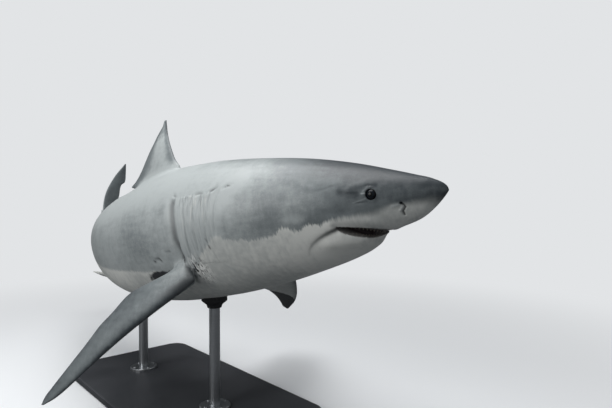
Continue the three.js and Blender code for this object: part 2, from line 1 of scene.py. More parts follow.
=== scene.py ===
import bmesh
import bpy
import numpy as np
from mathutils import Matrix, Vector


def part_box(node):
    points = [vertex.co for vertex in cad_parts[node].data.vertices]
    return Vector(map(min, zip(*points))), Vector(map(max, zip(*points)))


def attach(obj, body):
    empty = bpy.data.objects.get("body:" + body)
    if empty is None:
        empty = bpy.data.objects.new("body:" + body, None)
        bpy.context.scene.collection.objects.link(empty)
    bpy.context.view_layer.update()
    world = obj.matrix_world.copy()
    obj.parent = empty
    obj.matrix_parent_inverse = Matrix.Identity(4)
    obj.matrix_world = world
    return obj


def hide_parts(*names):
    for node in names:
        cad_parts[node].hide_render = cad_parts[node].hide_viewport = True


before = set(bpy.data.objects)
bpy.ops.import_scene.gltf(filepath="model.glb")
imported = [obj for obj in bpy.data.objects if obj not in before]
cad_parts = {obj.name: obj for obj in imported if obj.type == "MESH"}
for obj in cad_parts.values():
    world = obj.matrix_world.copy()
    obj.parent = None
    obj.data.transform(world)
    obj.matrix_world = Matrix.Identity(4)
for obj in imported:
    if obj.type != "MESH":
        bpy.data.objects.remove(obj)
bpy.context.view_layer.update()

# ---- Trunk ----
# The trunk is one tapering body of muscle under a tough hide, from the cone of the snout to the narrow stem
# that carries the tail. It is worked out straight, in percent of the total length, and then bent along the
# spine, as a museum model is built on a bent armature: s runs back from the snout, y to the left and z up.
TOTAL_LENGTH = 3.8
UNIT = TOTAL_LENGTH / 100
SNOUT_TIP = np.array([1.177, -0.891, 1.085])
# Station, height of the back, depth of the belly and half width.
TRUNK = [
    (0, 0, 0, 0), (1.2, 1.2, 1.28, 0.9), (3, 1.88, 2.48, 1.86), (5.5, 2.75, 3.29, 2.85),
    (9, 3.92, 5.36, 4.24), (14, 5.29, 6.78, 5.62), (20, 6.51, 7.91, 6.66), (27, 7.63, 8.62, 7.35),
    (36, 8.36, 8.95, 7.52), (46, 7.70, 8.53, 6.83), (56, 6.61, 7.41, 5.53), (66, 5.00, 5.38, 3.98),
    (74, 3.20, 3.20, 2.62), (80.5, 1.90, 1.80, 1.50), (86, 1.60, 1.40, 0.86), (91, 1.10, 1.00, 0.22),
]
SNOUT_ROUNDING = 1.2
SNOUT_POWER = {"back": 0.45, "belly": 0.85, "side": 0.6}
# Station, and how far the keel stands out of each side of the tail stem.
KEEL = [(70, 0), (76, 0.25), (81, 0.6), (85, 0.6), (89, 0)]
KEEL_HALF_HEIGHT = 0.9
# Station, and the body's heading, climb or lean there in degrees.
YAW = [(0, 28.7), (14, 29.3), (30, 41.7), (46, 48.2), (62, 58.5), (76, 59.3), (90, 102.2)]
PITCH = [(0, 6.4), (30, 10.3), (60, 3.65), (100, -6.5)]
ROLL = [(0, -10.9), (35, -2.5), (80, -9.7)]
SPINE_STEP = 0.25
SPINE_END = 104


def smooth(knots):
    """A curve through knots (x, y) in cubic pieces: the slope at a knot is the weighted harmonic mean of
    the slopes beside it, or level where they turn round, and past the ends the curve is level."""
    x, y = np.array(knots, dtype=float).T
    width = np.diff(x)
    rise = np.diff(y) / width
    turns = rise[:-1] * rise[1:] <= 0
    before = np.where(turns, 1.0, rise[:-1])
    after = np.where(turns, 1.0, rise[1:])
    ahead = 2 * width[1:] + width[:-1]
    behind = width[1:] + 2 * width[:-1]
    inner = np.where(turns, 0.0, (ahead + behind) / (ahead / before + behind / after))
    slope = np.concatenate([rise[:1], inner, rise[-1:]])

    def curve(at):
        """The curve's y at any x."""
        at = np.clip(at, x[0], x[-1])
        i = np.clip(np.searchsorted(x, at, side="right") - 1, 0, len(x) - 2)
        t = (at - x[i]) / width[i]
        ends = (2 * t**3 - 3 * t**2 + 1) * y[i] + (3 * t**2 - 2 * t**3) * y[i + 1]
        lean = (t**3 - 2 * t**2 + t) * slope[i] + (t**3 - t**2) * slope[i + 1]
        return ends + width[i] * lean

    return curve


yaw, pitch, roll = smooth(YAW), smooth(PITCH), smooth(ROLL)
back, belly, half_width = (smooth([(row[0], row[i]) for row in TRUNK]) for i in (1, 2, 3))
keel = smooth(KEEL)


def axes_at(s):
    """The directions forward, left and up of the body at station s: heading, climb, then lean."""
    heading, climb, lean = (np.radians(curve(s)) for curve in (yaw, pitch, roll))
    level_way = np.stack([np.cos(heading), -np.sin(heading), 0 * heading], -1)
    forward = level_way * np.cos(climb)[..., None]
    forward[..., 2] = np.sin(climb)
    level = np.stack([np.sin(heading), np.cos(heading), 0 * heading], -1)
    upright = np.cross(forward, level)
    cosine, sine = np.cos(lean)[..., None], np.sin(lean)[..., None]
    return forward, level * cosine - upright * sine, upright * cosine + level * sine


spine_stations = np.arange(0, SPINE_END + SPINE_STEP / 2, SPINE_STEP)
spine_moves = -SPINE_STEP * UNIT * axes_at(spine_stations[1:] - SPINE_STEP / 2)[0]
spine_line = SNOUT_TIP + np.concatenate([np.zeros((1, 3)), np.cumsum(spine_moves, 0)])


def spine_at(s):
    """The spine's place at station s, straight between the points of its line."""
    return np.stack([np.interp(s, spine_stations, spine_line[:, i]) for i in range(3)], -1)


def bend(lie):
    """Carries places (s, y, z) on the straight body to the bent one: along the spine, left and up."""
    s, y, z = np.moveaxis(lie, -1, 0)
    _, left, up = axes_at(s)
    return spine_at(s) + UNIT * (y[..., None] * left + z[..., None] * up)


def half_sections(s):
    """Height of the back, depth of the belly and half width at station s. The snout closes them with powers
    of how far along its rounding s is: bluntly above and sharply below."""
    nose = np.clip(s / SNOUT_ROUNDING, 0, 1)
    at = np.maximum(s, SNOUT_ROUNDING)
    top = back(at) * nose ** SNOUT_POWER["back"]
    return top, belly(at) * nose ** SNOUT_POWER["belly"], half_width(at) * nose ** SNOUT_POWER["side"]


def side_at(s, z):
    """Half width of the plain skin at station s and height z, as on an ellipse."""
    top, bottom, width = half_sections(s)
    share = z / np.where(z > 0, top, bottom)
    return width * np.sqrt(np.clip(1 - share**2, 0, 1))


# ---- Head ----
# The head carries the eyes, the nostrils, the mouth and the folds of hide about them. They are pressed into
# the trunk's surface: each is a depth or a swelling along the way out of the skin. Their paths are places
# (s, z), set out on one side of the body and used for both.
EYE = {"s": 6.6, "z": 0.89, "radius": 0.49, "tallness": 1.06, "depth": 0.34, "sunk": 0.17}
SOCKET = {"floor": 0.44, "edge": 0.53, "depth": 0.3}
SOCKET_RIM = {"at": 0.66, "width": 0.12, "height": 0.015}
EYE_WEDGE = {"path": [(7.05, 1.02), (7.45, 1.1)], "width": 0.1, "height": 0.03, "tapers": 0.7}
EYE_CREASES = [
    ([(7.5, 1.14), (8.3, 1.28), (9.2, 1.46)], 0.02),
    ([(7.0, 0.2), (7.6, 0.24), (8.2, 0.3)], 0.035),
    ([(6.1, 1.6), (6.8, 1.75), (7.5, 1.62)], 0.03),
    ([(9.4, 2.3), (10.9, 2.02), (12.1, 2.0)], 0.02),
]
EYE_CREASE_WIDTH = 0.1
EYE_CREASE_ENDS = 0.05
NOSTRIL = [(4.1, -0.38), (3.86, -0.6), (3.78, -0.84), (3.92, -1.02), (4.08, -1.2), (4.04, -1.58)]
NOSTRIL_SLIT = {"width": 0.1, "height": -0.13}
NOSTRIL_PIT = {"width": 0.09, "height": -0.2}
NOSTRIL_PIT_SHARE = 0.14
# Soft swellings, as path, width and height: the brow, the nostril's flap and lobe, and the jaw's muscle.
SWELLINGS = [
    ([(5.3, 1.45), (6.1, 1.9), (7.1, 2.0), (8.4, 1.7)], 0.4, 0.07),
    ([(3.98, -0.74), (4.14, -0.95), (4.3, -1.1)], 0.13, 0.06),
    ([(4.3, -0.5), (4.9, -0.62)], 0.2, 0.05),
    ([(8.2, -3.8), (9.6, -3.5), (11.2, -3.4)], 0.75, 0.22),
]
UPPER_LIP = [(5.9, -3.3), (6.5, -2.93), (7.6, -2.47), (9, -2.1), (10.35, -1.86)]
LOWER_LIP = [(6.3, -3.5), (6.9, -3.46), (7.7, -3.22), (8.6, -2.92), (9.5, -2.53), (10.35, -1.96)]
LIP_LENGTH = ((5.2, 6.2), (10.2, 10.9))
LIP_EDGE = 0.1
# Rolls and hollows along the lips: line, side of it, distance from it, width and height.
LIP_ROLLS = [
    (UPPER_LIP, 1, 0, 0.42, -0.22), (UPPER_LIP, 1, 0.95, 0.45, 0.09), (LOWER_LIP, -1, 0, 0.26, -0.08),
]
CHIN_TUCK = {"under": ((-0.4, 0.05), (0.5, 1.5)), "length": ((5.6, 6), (6.9, 8.6)), "depth": 0.32}
CHEEK_FOLD = [
    (10.2, -1.94), (10.97, -2.2), (11.75, -2.5), (12.45, -2.86), (13.0, -3.25), (13.5, -3.8), (13.9, -4.5),
]
FOLD_START = (9.8, 10.4)
FOLD_EDGE = (-0.16, 0.12)
FOLD_RIDGE = {"at": 0.5, "width": 0.45, "height": 0.05}
FOLD_HOLLOW = {"width": 0.6, "height": 0.26}
upper_lip, lower_lip, fold_height = smooth(UPPER_LIP), smooth(LOWER_LIP), smooth(CHEEK_FOLD)


def step_between(x, low, high):
    """0 below low, 1 above high, and a smooth step between."""
    t = np.clip((x - low) / (high - low), 0, 1)
    return t * t * (3 - 2 * t)


def between(x, rise, fall):
    """A smooth step up over the pair rise, times a smooth step down over the pair fall."""
    return step_between(x, *rise) * (1 - step_between(x, *fall))


def hump(x, width, at=0, height=1):
    """A bell of a height and width, with its top at a place."""
    return height * np.exp(-(((x - at) / width) ** 2))


def fade(share, ends):
    """Half a sine wave over the share along a path, held from the given share off each end."""
    return np.sin(np.pi * np.clip(share, ends, 1 - ends))


def path_distance(points, path):
    """Least distance from points to the straight pieces of a path, and the share along it where that is."""
    path = np.array(path, dtype=float)
    lengths = np.linalg.norm(np.diff(path, axis=0), axis=1)
    starts = np.concatenate([[0], np.cumsum(lengths)])
    best = np.full(points.shape[:-1], np.inf)
    share = np.zeros(points.shape[:-1])
    for i, length in enumerate(lengths):
        way = (path[i + 1] - path[i]) / length
        along = np.clip((points - path[i]) @ way, 0, length)
        gap = np.linalg.norm(points - path[i] - along[..., None] * way, axis=-1)
        nearer = gap < best
        best = np.where(nearer, gap, best)
        share = np.where(nearer, (starts[i] + along) / starts[-1], share)
    return best, share


def bells(side, rows):
    """For each row of path, width and height, a bell across the path."""
    return [hump(path_distance(side, path)[0], width, 0, height) for path, width, height in rows]


def eye_gap(s, y, z):
    """Distance of a place on the head from the middle of the eye on its side, with the eye's height as 1."""
    across = np.abs(y) - side_at(EYE["s"], EYE["z"])
    return np.sqrt((s - EYE["s"]) ** 2 + across**2 + ((z - EYE["z"]) / EYE["tallness"]) ** 2)


def eye_relief(s, y, z):
    """A socket with a low rim, a wedge of skin that tapers away behind it, and thin creases."""
    side = np.stack([s, z], -1)
    gap = eye_gap(s, y, z)
    out = hump(gap, **SOCKET_RIM)
    out -= SOCKET["depth"] * (1 - step_between(gap, SOCKET["floor"], SOCKET["edge"]))
    gap, share = path_distance(side, EYE_WEDGE["path"])
    out += EYE_WEDGE["height"] * hump(gap, EYE_WEDGE["width"]) * (1 - EYE_WEDGE["tapers"] * share)
    for path, depth in EYE_CREASES:
        gap, share = path_distance(side, path)
        out -= depth * hump(gap, EYE_CREASE_WIDTH) * fade(share, EYE_CREASE_ENDS)
    return out


def face_relief(side):
    """The nostril's bent slit with a pit at its upper end, and the soft swellings."""
    gap, share = path_distance(side, NOSTRIL)
    out = hump(gap, **NOSTRIL_SLIT) + hump(gap, **NOSTRIL_PIT) * hump(share, NOSTRIL_PIT_SHARE)
    for swelling in bells(side, SWELLINGS):
        out += swelling
    return out


def mouth_relief(side):
    """Rolls and hollows outside the lips, the chin tucked in under them, and the fold of the cheek, a ridge
    that laps over the hollow below it and dies away along the path."""
    s, z = side.T
    out = 0 * s
    for line, way, at, width, height in LIP_ROLLS:
        gap, _ = path_distance(side, line)
        outside = step_between(way * (z - smooth(line)(s)), -LIP_EDGE, LIP_EDGE)
        out += hump(gap, width, at, height) * outside * between(s, *LIP_LENGTH)
    tucked = between(lower_lip(s) - z, *CHIN_TUCK["under"]) * between(s, *CHIN_TUCK["length"])
    out -= CHIN_TUCK["depth"] * tucked
    gap, share = path_distance(side, CHEEK_FOLD)
    behind = step_between(z - fold_height(s), *FOLD_EDGE)
    fold = hump(gap, **FOLD_RIDGE) * behind - hump(gap, **FOLD_HOLLOW) * (1 - behind)
    return out + fold * (1 - share) * step_between(s, *FOLD_START)


# ---- Gills ----
# Five gill slits open on each side, each under the rear edge of a flap of hide. The hide between them is
# pleated, with short creases over their tops. The old scars are on the right flank only.
# Each slit's line from its lower end up, as (height, station), and its strength.
GILLS = [
    ([(-1.2, 22.35), (1.2, 22.2), (3.7, 21.8)], 0.24), ([(-2.3, 23.7), (0.8, 23.4), (3.6, 23.3)], 0.32),
    ([(-2.9, 25.1), (0.5, 24.85), (3.6, 25.2)], 0.4), ([(-3.4, 26.2), (0.3, 26.15), (3.6, 26.55)], 0.5),
    ([(-4.9, 27.75), (-0.6, 27.4), (3.6, 27.85)], 1.0),
]
GILL_BOTTOM_FADE = (-0.15, 0.7)
GILL_TOP_FADE = (-0.6, 0.1)
SLIT = {"at": 0.06, "front": 0.07, "rear": 0.14, "depth": 0.4}
FLAP = {"fall": 0.5, "height": 0.11}
HOLLOW_BEHIND = {"fall": 0.6, "depth": 0.13}
# What the last flap adds behind it, as distance, width and height: a deeper hollow, then a swelling.
LAST_FLAP = [(0.5, 0.4, -0.2), (1.5, 0.7, 0.1)]
GILL_CREASES = [
    ([(22.2, 3.95), (22.7, 3.72), (23.3, 3.52)], 0.09),
    ([(20.4, 4.05), (20.9, 3.92), (21.5, 3.74)], 0.09),
    ([(23.6, 3.5), (24.4, 3.62), (25.2, 3.5)], 0.07),
    ([(27.7, 3.7), (28.5, 4.1)], 0.06),
]
GILL_CREASE_ENDS = 0.1
SCARS = [
    ([(30.26, -2.28), (29.88, -2.27), (29.3, -2.19)], 0.08),
    ([(33.05, -3.19), (32.54, -2.97), (32.03, -2.89), (31.65, -3.03), (31.52, -3.32)], 0.12),
]
# The width of the cut of a crease or scar, and its raised edge beside it.
CREASE_CUT = (0.12, {"width": 0.16, "at": 0.3, "height": 0.5})
SCAR_CUT = (0.16, {"width": 0.16, "at": 0.36, "height": 0.6})
PLEATS = {"pitch": 0.46, "slant": 0.12, "height": 0.024, "faint": 0.5}
PLEATED_LENGTH = ((22.2, 23.2), (26.6, 27.6))
PLEATED_TOP = ((1.6, 2.9), (3.4, 3.7))
PLEATED_BOTTOM = -4


def gill_offsets(s, z):
    """For each gill slit, how far a place lies behind its line, and how strong it is at that height."""
    rows = []
    for line, depth in GILLS:
        ends = step_between(z - line[0][0], *GILL_BOTTOM_FADE)
        ends = ends * (1 - step_between(z - line[-1][0], *GILL_TOP_FADE))
        rows.append((s - smooth(line)(z), ends * depth))
    return rows


def pleated_share(s, z):
    """How strongly the hide is pleated at a place: fully between the tops of the gill slits, and faintly
    all the way down them."""
    faint = PLEATS["faint"]
    full, top = PLEATED_TOP
    high = (faint + (1 - faint) * step_between(z, *full)) * (1 - step_between(z, *top))
    return between(s, *PLEATED_LENGTH) * high * (z > PLEATED_BOTTOM)


def cut_relief(gap, width, edge):
    """A bell-shaped cut, less the bell of its raised edge to the side of it."""
    return hump(gap, width) - hump(gap, **edge)


def gill_relief(side):
    """Each flap rises to its slit by an exponential and falls off behind it by another, with the slit's
    narrow bell between. The pleats are a sine wave along the body."""
    s, z = side.T
    out = 0 * s
    for offset, strength in gill_offsets(s, z):
        before = np.where(offset < 0, np.exp(np.minimum(offset, 0) / FLAP["fall"]), 0)
        after = np.where(offset > 0, np.exp(-np.maximum(offset, 0) / HOLLOW_BEHIND["fall"]), 0)
        slit = hump(offset - SLIT["at"], np.where(offset < SLIT["at"], SLIT["front"], SLIT["rear"]))
        out += strength * (FLAP["height"] * before - SLIT["depth"] * slit - HOLLOW_BEHIND["depth"] * after)
    for at, width, height in LAST_FLAP:
        out += hump(offset, width, at, height) * strength
    wave = np.sin(2 * np.pi * (s + PLEATS["slant"] * z) / PLEATS["pitch"])
    out += PLEATS["height"] * pleated_share(s, z) * wave
    for path, depth in GILL_CREASES:
        gap, share = path_distance(side, path)
        out -= depth * cut_relief(gap, *CREASE_CUT) * fade(share, GILL_CREASE_ENDS)
    return out


def scar_relief(side, y):
    """The old cuts, on the right side only."""
    out = 0 * y
    for path, depth in SCARS:
        gap, _ = path_distance(side, path)
        out -= depth * cut_relief(gap, *SCAR_CUT) * (y < 0)
    return out


# ---- Body surface ----
# The hide of the trunk and head is one closed surface: rings round the straight body, closer together and
# then split again where the folds are fine. It ends inside the root of the tail.
TRUNK_START = (0.004, 0.03)
TRUNK_END = 89.6
# Station and the step between rings there, and degrees round the body and the step between points there.
RING_STEPS = [
    (0, 0.04), (1, 0.15), (3, 0.17), (14, 0.19), (15, 0.3), (20, 0.3), (21, 0.18), (28.5, 0.18),
    (30, 0.28), (37, 0.38), (50, 0.5), (66, 0.65), (80, 0.55), (89.6, 0.5),
]
POINT_STEPS = [(-90, 4.2), (-75, 3), (-62, 2.2), (35, 2.2), (55, 4), (90, 5)]
# Stations and heights of what is split finer: head, gills, eye and nostril.
FINER = [
    ((3.2, 14.2), (-9, 2.6)), ((21, 28.6), (-5.4, 4.3)), ((5.7, 8.0), (-0.1, 1.95)), ((3.4, 4.6), (-2, 0.1)),
]
# A point's kind tells later which piece of the body it came from. It is 0 where a join made the point.
KINDS = (
    "join", "trunk", "dorsal_first", "dorsal_second", "anal", "tail_upper", "tail_lower",
    "pectoral_right", "pectoral_left", "pelvic_right", "pelvic_left", "mouth",
)


def spaced(steps, start, end):
    """Stations from start to end whose steps follow a table of (place, step), worked out by adding up
    how many steps each stretch holds and reading that sum back at whole numbers."""
    fine = np.linspace(start, end, 4000)
    step = np.interp(fine, *np.array(steps, dtype=float).T)
    count = np.concatenate([[0], np.cumsum(np.diff(fine) * (1 / step[:-1] + 1 / step[1:]) / 2)])
    rows = int(round(count[-1]))
    return np.interp(np.linspace(0, count[-1], rows + 1), count, fine)


def write_word(mesh, word, values):
    """Keeps one number or vector per point of a mesh as an attribute."""
    vector = values.size == 3 * len(mesh.vertices)
    kind, key = ("FLOAT_VECTOR", "vector") if vector else ("FLOAT", "value")
    attribute = mesh.attributes.get(word) or mesh.attributes.new(word, kind, "POINT")
    attribute.data.foreach_set(key, np.ascontiguousarray(values, dtype=np.float32).ravel())


def read_word(mesh, word):
    """One number or vector per point of a mesh, read from an attribute."""
    attribute = mesh.attributes[word]
    vector = attribute.data_type == "FLOAT_VECTOR"
    values = np.empty(len(mesh.vertices) * (3 if vector else 1), dtype=np.float32)
    attribute.data.foreach_get("vector" if vector else "value", values)
    return values.astype(float).reshape(-1, 3) if vector else values.astype(float)


def tube_mesh(name, points, **words):
    """Closed tubes through rings of points, each end closed by triangles to its middle, faces outwards: one
    tube is an array of rings, and several are a stack of such arrays. Each value in words is a number or
    vector per point, kept as an attribute of the mesh."""
    rows, columns, _ = points.shape[-3:]
    size = rows * columns + 2

    def with_ends(values):
        """The values of each tube's rings, and then the mean of its first ring and of its last."""
        wide = values.size * 3 // points.size
        values = values.reshape(-1, rows, columns, wide)
        ends = values[:, [0, -1]].mean(2)
        return np.concatenate([values.reshape(len(values), -1, wide), ends], 1).reshape(-1, wide)

    corners = with_ends(points)
    ring = np.arange(columns)
    after = (ring + 1) % columns
    start = columns * np.arange(rows - 1)[:, None]
    quads = np.stack([start + ring, start + after, start + columns + after, start + columns + ring], -1)
    quads = quads.reshape(-1, 4)
    end = size - 2 - columns
    caps = np.concatenate([
        np.stack([np.full(columns, size - 2), after, ring], -1),
        np.stack([np.full(columns, size - 1), ring + end, after + end], -1),
    ])
    shift = size * np.arange(len(corners) // size)[:, None, None]
    quads, caps = (quads + shift).reshape(-1, 4), (caps + shift).reshape(-1, 3)
    triangles = np.concatenate([quads[:, :3], quads[:, [0, 2, 3]], caps])
    a, b, c = (corners[triangles[:, i]] for i in range(3))
    if np.einsum("ij,ij->", a, np.cross(b, c)) < 0:
        quads, caps = quads[:, ::-1], caps[:, ::-1]
    mesh = bpy.data.meshes.new(name)
    mesh.from_pydata(corners.tolist(), [], quads.tolist() + caps.tolist())
    for word, values in words.items():
        write_word(mesh, word, with_ends(values))
    return mesh


def edge_ends(mesh):
    """The two points of each edge of a mesh."""
    ends = np.empty(len(mesh.edges) * 2, dtype=np.int64)
    mesh.edges.foreach_get("vertices", ends)
    return ends.reshape(-1, 2)


def placed(name, mesh):
    """A new object of the scene with a mesh."""
    piece = bpy.data.objects.new(name, mesh)
    bpy.context.collection.objects.link(piece)
    return piece


def trunk_lie(base):
    """Places on the straight body from a station and the cosine and sine of the way round, which starts at
    the left and goes up: half an ellipse above and one below mid height, the keel's ridge at the sides, and
    the relief added along the way out. The two end points have no way round and stay in the middle."""
    s = base[:, 0]
    size = np.hypot(base[:, 1], base[:, 2])
    cosine, sine = np.where(size > 0.5, base[:, 1:].T / np.maximum(size, 0.5), 0)
    top, bottom, width = half_sections(s)
    height = np.where(sine > 0, top, bottom)
    z = sine * height
    y = cosine * (width + keel(s) * np.clip(1 - np.abs(z) / KEEL_HALF_HEIGHT, 0, 1))
    out = np.stack([0 * s, y / width**2, z / height**2], -1)
    out /= np.maximum(np.linalg.norm(out, axis=1), 1e-9)[:, None]
    side = np.stack([s, z], -1)
    relief = eye_relief(s, y, z) + face_relief(side) + mouth_relief(side) + gill_relief(side)
    return np.stack([s, y, z], -1) + (relief + scar_relief(side, y))[:, None] * out


def refine(mesh, stations, heights):
    """Halves the edges of a mesh whose ends both lie between two stations and two heights."""
    s, _, z = trunk_lie(read_word(mesh, "base")).T
    inside = (s > stations[0]) & (s < stations[1]) & (z > heights[0]) & (z < heights[1])
    chosen = np.flatnonzero(inside[edge_ends(mesh)].all(1))
    shape = bmesh.new()
    shape.from_mesh(mesh)
    shape.edges.ensure_lookup_table()
    bmesh.ops.subdivide_edges(shape, edges=[shape.edges[i] for i in chosen], cuts=1, use_grid_fill=True)
    shape.to_mesh(mesh)
    shape.free()


def trunk_surface():
    """The rings of the trunk, split where FINER says, with the place on the straight body kept as lie."""
    left = spaced(POINT_STEPS, -90, 90)
    angles = np.radians(np.concatenate([left, 180 - left[-2:0:-1]]))
    first, second = TRUNK_START
    stations = np.concatenate([[first], spaced(RING_STEPS, second, TRUNK_END)])
    s, angle = np.meshgrid(stations, angles, indexing="ij")
    base = np.stack([s, np.cos(angle), np.sin(angle)], -1)
    lie = trunk_lie(base.reshape(-1, 3)).reshape(base.shape)
    mesh = tube_mesh("skin", bend(lie), base=base)
    ends = read_word(mesh, "base")
    ends[-2:, 1:] = 0
    write_word(mesh, "base", ends)
    for stations, heights in FINER:
        refine(mesh, stations, heights)
    lie = trunk_lie(read_word(mesh, "base"))
    mesh.vertices.foreach_set("co", bend(lie).ravel())
    mesh.attributes.remove(mesh.attributes["base"])
    write_word(mesh, "lie", lie)
    write_word(mesh, "blade", 0 * lie)
    write_word(mesh, "kind", np.full(len(lie), KINDS.index("trunk")))
    return mesh


skin = placed("skin", trunk_surface())


# ---- Fins ----
# Every fin is a stiff blade of horny rays under the same hide, rounded in front and thin behind, and it
# grows out of the trunk through a soft flare. The midline fins are rows of sections at rising heights;
# the paired ones are rows of sections along a middle line that goes out sideways and droops.
FIN_EDGE = 0.0006 / UNIT
LENS_PEAK = 1 / 3
LENS_SCALE = 1 / (np.sqrt(LENS_PEAK) * (1 - LENS_PEAK))
FLARE_EDGE = 0.02
FLARE_POWER = 0.4
CHORD_POINTS = 21
CHORD_CROWDING = 1.25
BLADE_PIECES = 24
# Edges are (height or distance out, place along), thickness and rows are (height, half thickness or step),
# and a flare is how much it swells and how far it reaches.
FIRST_DORSAL = {
    "leading": [(6, 33.2), (8.2, 34.7), (9.8, 36.45), (11.5, 37.75), (14.1, 40.3), (16, 42.7), (17.8, 45.6)],
    "trailing": [
        (6, 46), (7.2, 46.4), (8.1, 51.6), (8.8, 49.4), (9.7, 47.6), (10.6, 46.5), (12.4, 45.3),
        (14.4, 44.6), (16.3, 44.7), (17.8, 46.2),
    ],
    "thickness": [(6, 0.95), (9, 0.72), (17.8, 0.12)],
    "rows": [(6, 0.3), (7.2, 0.12), (8.8, 0.12), (9.8, 0.3), (16.5, 0.35), (17.5, 0.12), (17.8, 0.05)],
    "flex": (8.5, 9, 4.2),
    "flare": (0.7, 0.45),
}
SECOND_DORSAL = {
    "leading": [(2, 71.2), (3.4, 72), (5.3, 74.1)],
    "trailing": [(2, 74.2), (3.6, 74.4), (4.2, 76.3), (5, 75.1), (5.3, 74.7)],
    "thickness": [(2, 0.3), (5.3, 0.08)],
    "rows": [(2, 0.2), (5, 0.15), (5.3, 0.05)],
    "flare": (0.2, 0.2),
}
ANAL = {
    "leading": [(-5.1, 76.6), (-3.2, 74.6), (-1.6, 73.8)],
    "trailing": [(-5.1, 77.2), (-4.6, 77.9), (-3.8, 78.8), (-3.2, 76.7), (-1.6, 76.5)],
    "thickness": [(-5.1, 0.08), (-1.6, 0.3)],
    "rows": [(-5.1, 0.05), (-4.8, 0.15), (-1.6, 0.2)],
    "flare": (0.2, 0.2),
}
TAIL_UPPER = {
    "leading": [(-1, 84.8), (1.6, 85), (4.8, 86.6), (8.2, 89.3), (11.6, 94.1), (14.2, 99.6)],
    "trailing": [
        (-1, 90), (1.2, 90.4), (4.4, 92), (7.2, 94.2), (9.5, 96.1), (9.9, 97.6), (11.6, 98.8), (14.2, 100),
    ],
    "thickness": [(-1, 0.5), (3, 0.38), (14.2, 0.1)],
    "rows": [(-1, 0.35), (8.8, 0.4), (9.4, 0.12), (10.1, 0.12), (11, 0.35), (14.2, 0.06)],
    "flare": (0.25, 0.4),
}
TAIL_LOWER = {
    "leading": [(-11.8, 95.2), (-9.6, 91.4), (-6.4, 87.8), (-3.4, 85.7), (-1.5, 84.9), (1, 84.8)],
    "trailing": [(-11.8, 95.6), (-9, 94.1), (-6, 92.6), (-3, 91.3), (-1, 90.4), (1, 90)],
    "thickness": [(-11.8, 0.1), (-3, 0.38), (1, 0.5)],
    "rows": [(-11.8, 0.06), (-10.5, 0.4), (1, 0.35)],
    "flare": (0.25, 0.4),
}
PECTORAL = {
    "station": 27.4, "root": (6.9, -5.4), "span": 19.5,
    "leading": [
        (-3, 2.2), (-2, 1.8), (-1.2, 0.8), (-0.4, -0.9), (0.4, -1.85), (1.4, -1.45), (4.5, 0.35),
        (9.5, 3.25), (12.3, 4.85), (14.6, 6.2), (16.8, 7.65), (18.5, 9.3), (19.5, 11),
    ],
    "trailing": [
        (-3, 3.4), (-1.5, 3.9), (-0.8, 4.4), (0, 5.5), (1, 6.8), (2.6, 8.7), (3.4, 9), (5.5, 9.1),
        (7.8, 9.6), (9.5, 9.6), (13.4, 10.2), (16.7, 11.1), (18.4, 11.6), (19.5, 11.5),
    ],
    "thickness": [(-3, 0.5), (-1, 0.65), (3, 0.62), (9.5, 0.45), (15, 0.26), (19.5, 0.1)],
    "rows": [(-3, 0.25), (4, 0.3), (8, 0.5), (17, 0.5), (18.9, 0.15), (19.5, 0.05)],
    "flare": (0.2, 0.8),
}
PELVIC = {
    "station": 57, "root": (2.6, -5.3), "span": 3.1,
    "leading": [(-1.6, -0.2), (0, 0), (1.6, 1.2), (2.5, 2.4), (3.1, 3.9)],
    "trailing": [(-1.6, 4.8), (0, 5.2), (0.6, 7.2), (0.9, 7.5), (2, 6), (3.1, 4.4)],
    "thickness": [(-1.6, 0.4), (1, 0.3), (3.1, 0.08)],
    "rows": [(-1.6, 0.2), (2.6, 0.15), (3.1, 0.04)],
    "flare": (0.15, 0.25),
}
MIDLINE_FINS = {
    "dorsal_first": FIRST_DORSAL, "dorsal_second": SECOND_DORSAL, "anal": ANAL, "tail_upper": TAIL_UPPER,
    "tail_lower": TAIL_LOWER,
}
# How each paired fin is held, in degrees; side is 1 at the left.
PAIRED_FINS = {
    "pectoral_right": (PECTORAL, {"side": -1, "droop": 50.3, "twist": -11.6, "sweep": 39.6, "curve": 21.9}),
    "pectoral_left": (PECTORAL, {"side": 1, "droop": 6.9, "twist": 18.7, "sweep": 9.5, "curve": 28.4}),
    "pelvic_right": (PELVIC, {"side": -1, "droop": -24, "twist": 4, "sweep": 45, "curve": -4}),
    "pelvic_left": (PELVIC, {"side": 1, "droop": 2, "twist": 4, "sweep": 32, "curve": 8}),
}


def bend_stiff(lie, station):
    """As bend, for a stiff fin that the body carries whole, turned as the body is at one station."""
    s, y, z = np.moveaxis(lie, -1, 0)
    forward, left, up = (way[None] for way in axes_at(np.array(float(station))))
    along = (station - s)[..., None] * forward
    return spine_at(np.array(float(station))) + UNIT * (along + y[..., None] * left + z[..., None] * up)


def fin_grid(fin):
    """The rows of a fin's sections, and round each section the share of its chord, closest together at the
    rounded front, the face, 1 or -1, and the place along from the leading to the trailing edge."""
    rows = spaced(fin["rows"], fin["rows"][0][0], fin["rows"][-1][0])[:, None]
    share = ((1 - np.cos(np.linspace(0, np.pi, CHORD_POINTS))) / 2) ** CHORD_CROWDING
    share = np.concatenate([share, share[::-1]])
    face = np.repeat([1.0, -1.0], CHORD_POINTS)
    front, rear = smooth(fin["leading"])(rows), smooth(fin["trailing"])(rows)
    return rows, share + 0 * rows, face + 0 * rows, front + share * (rear - front)


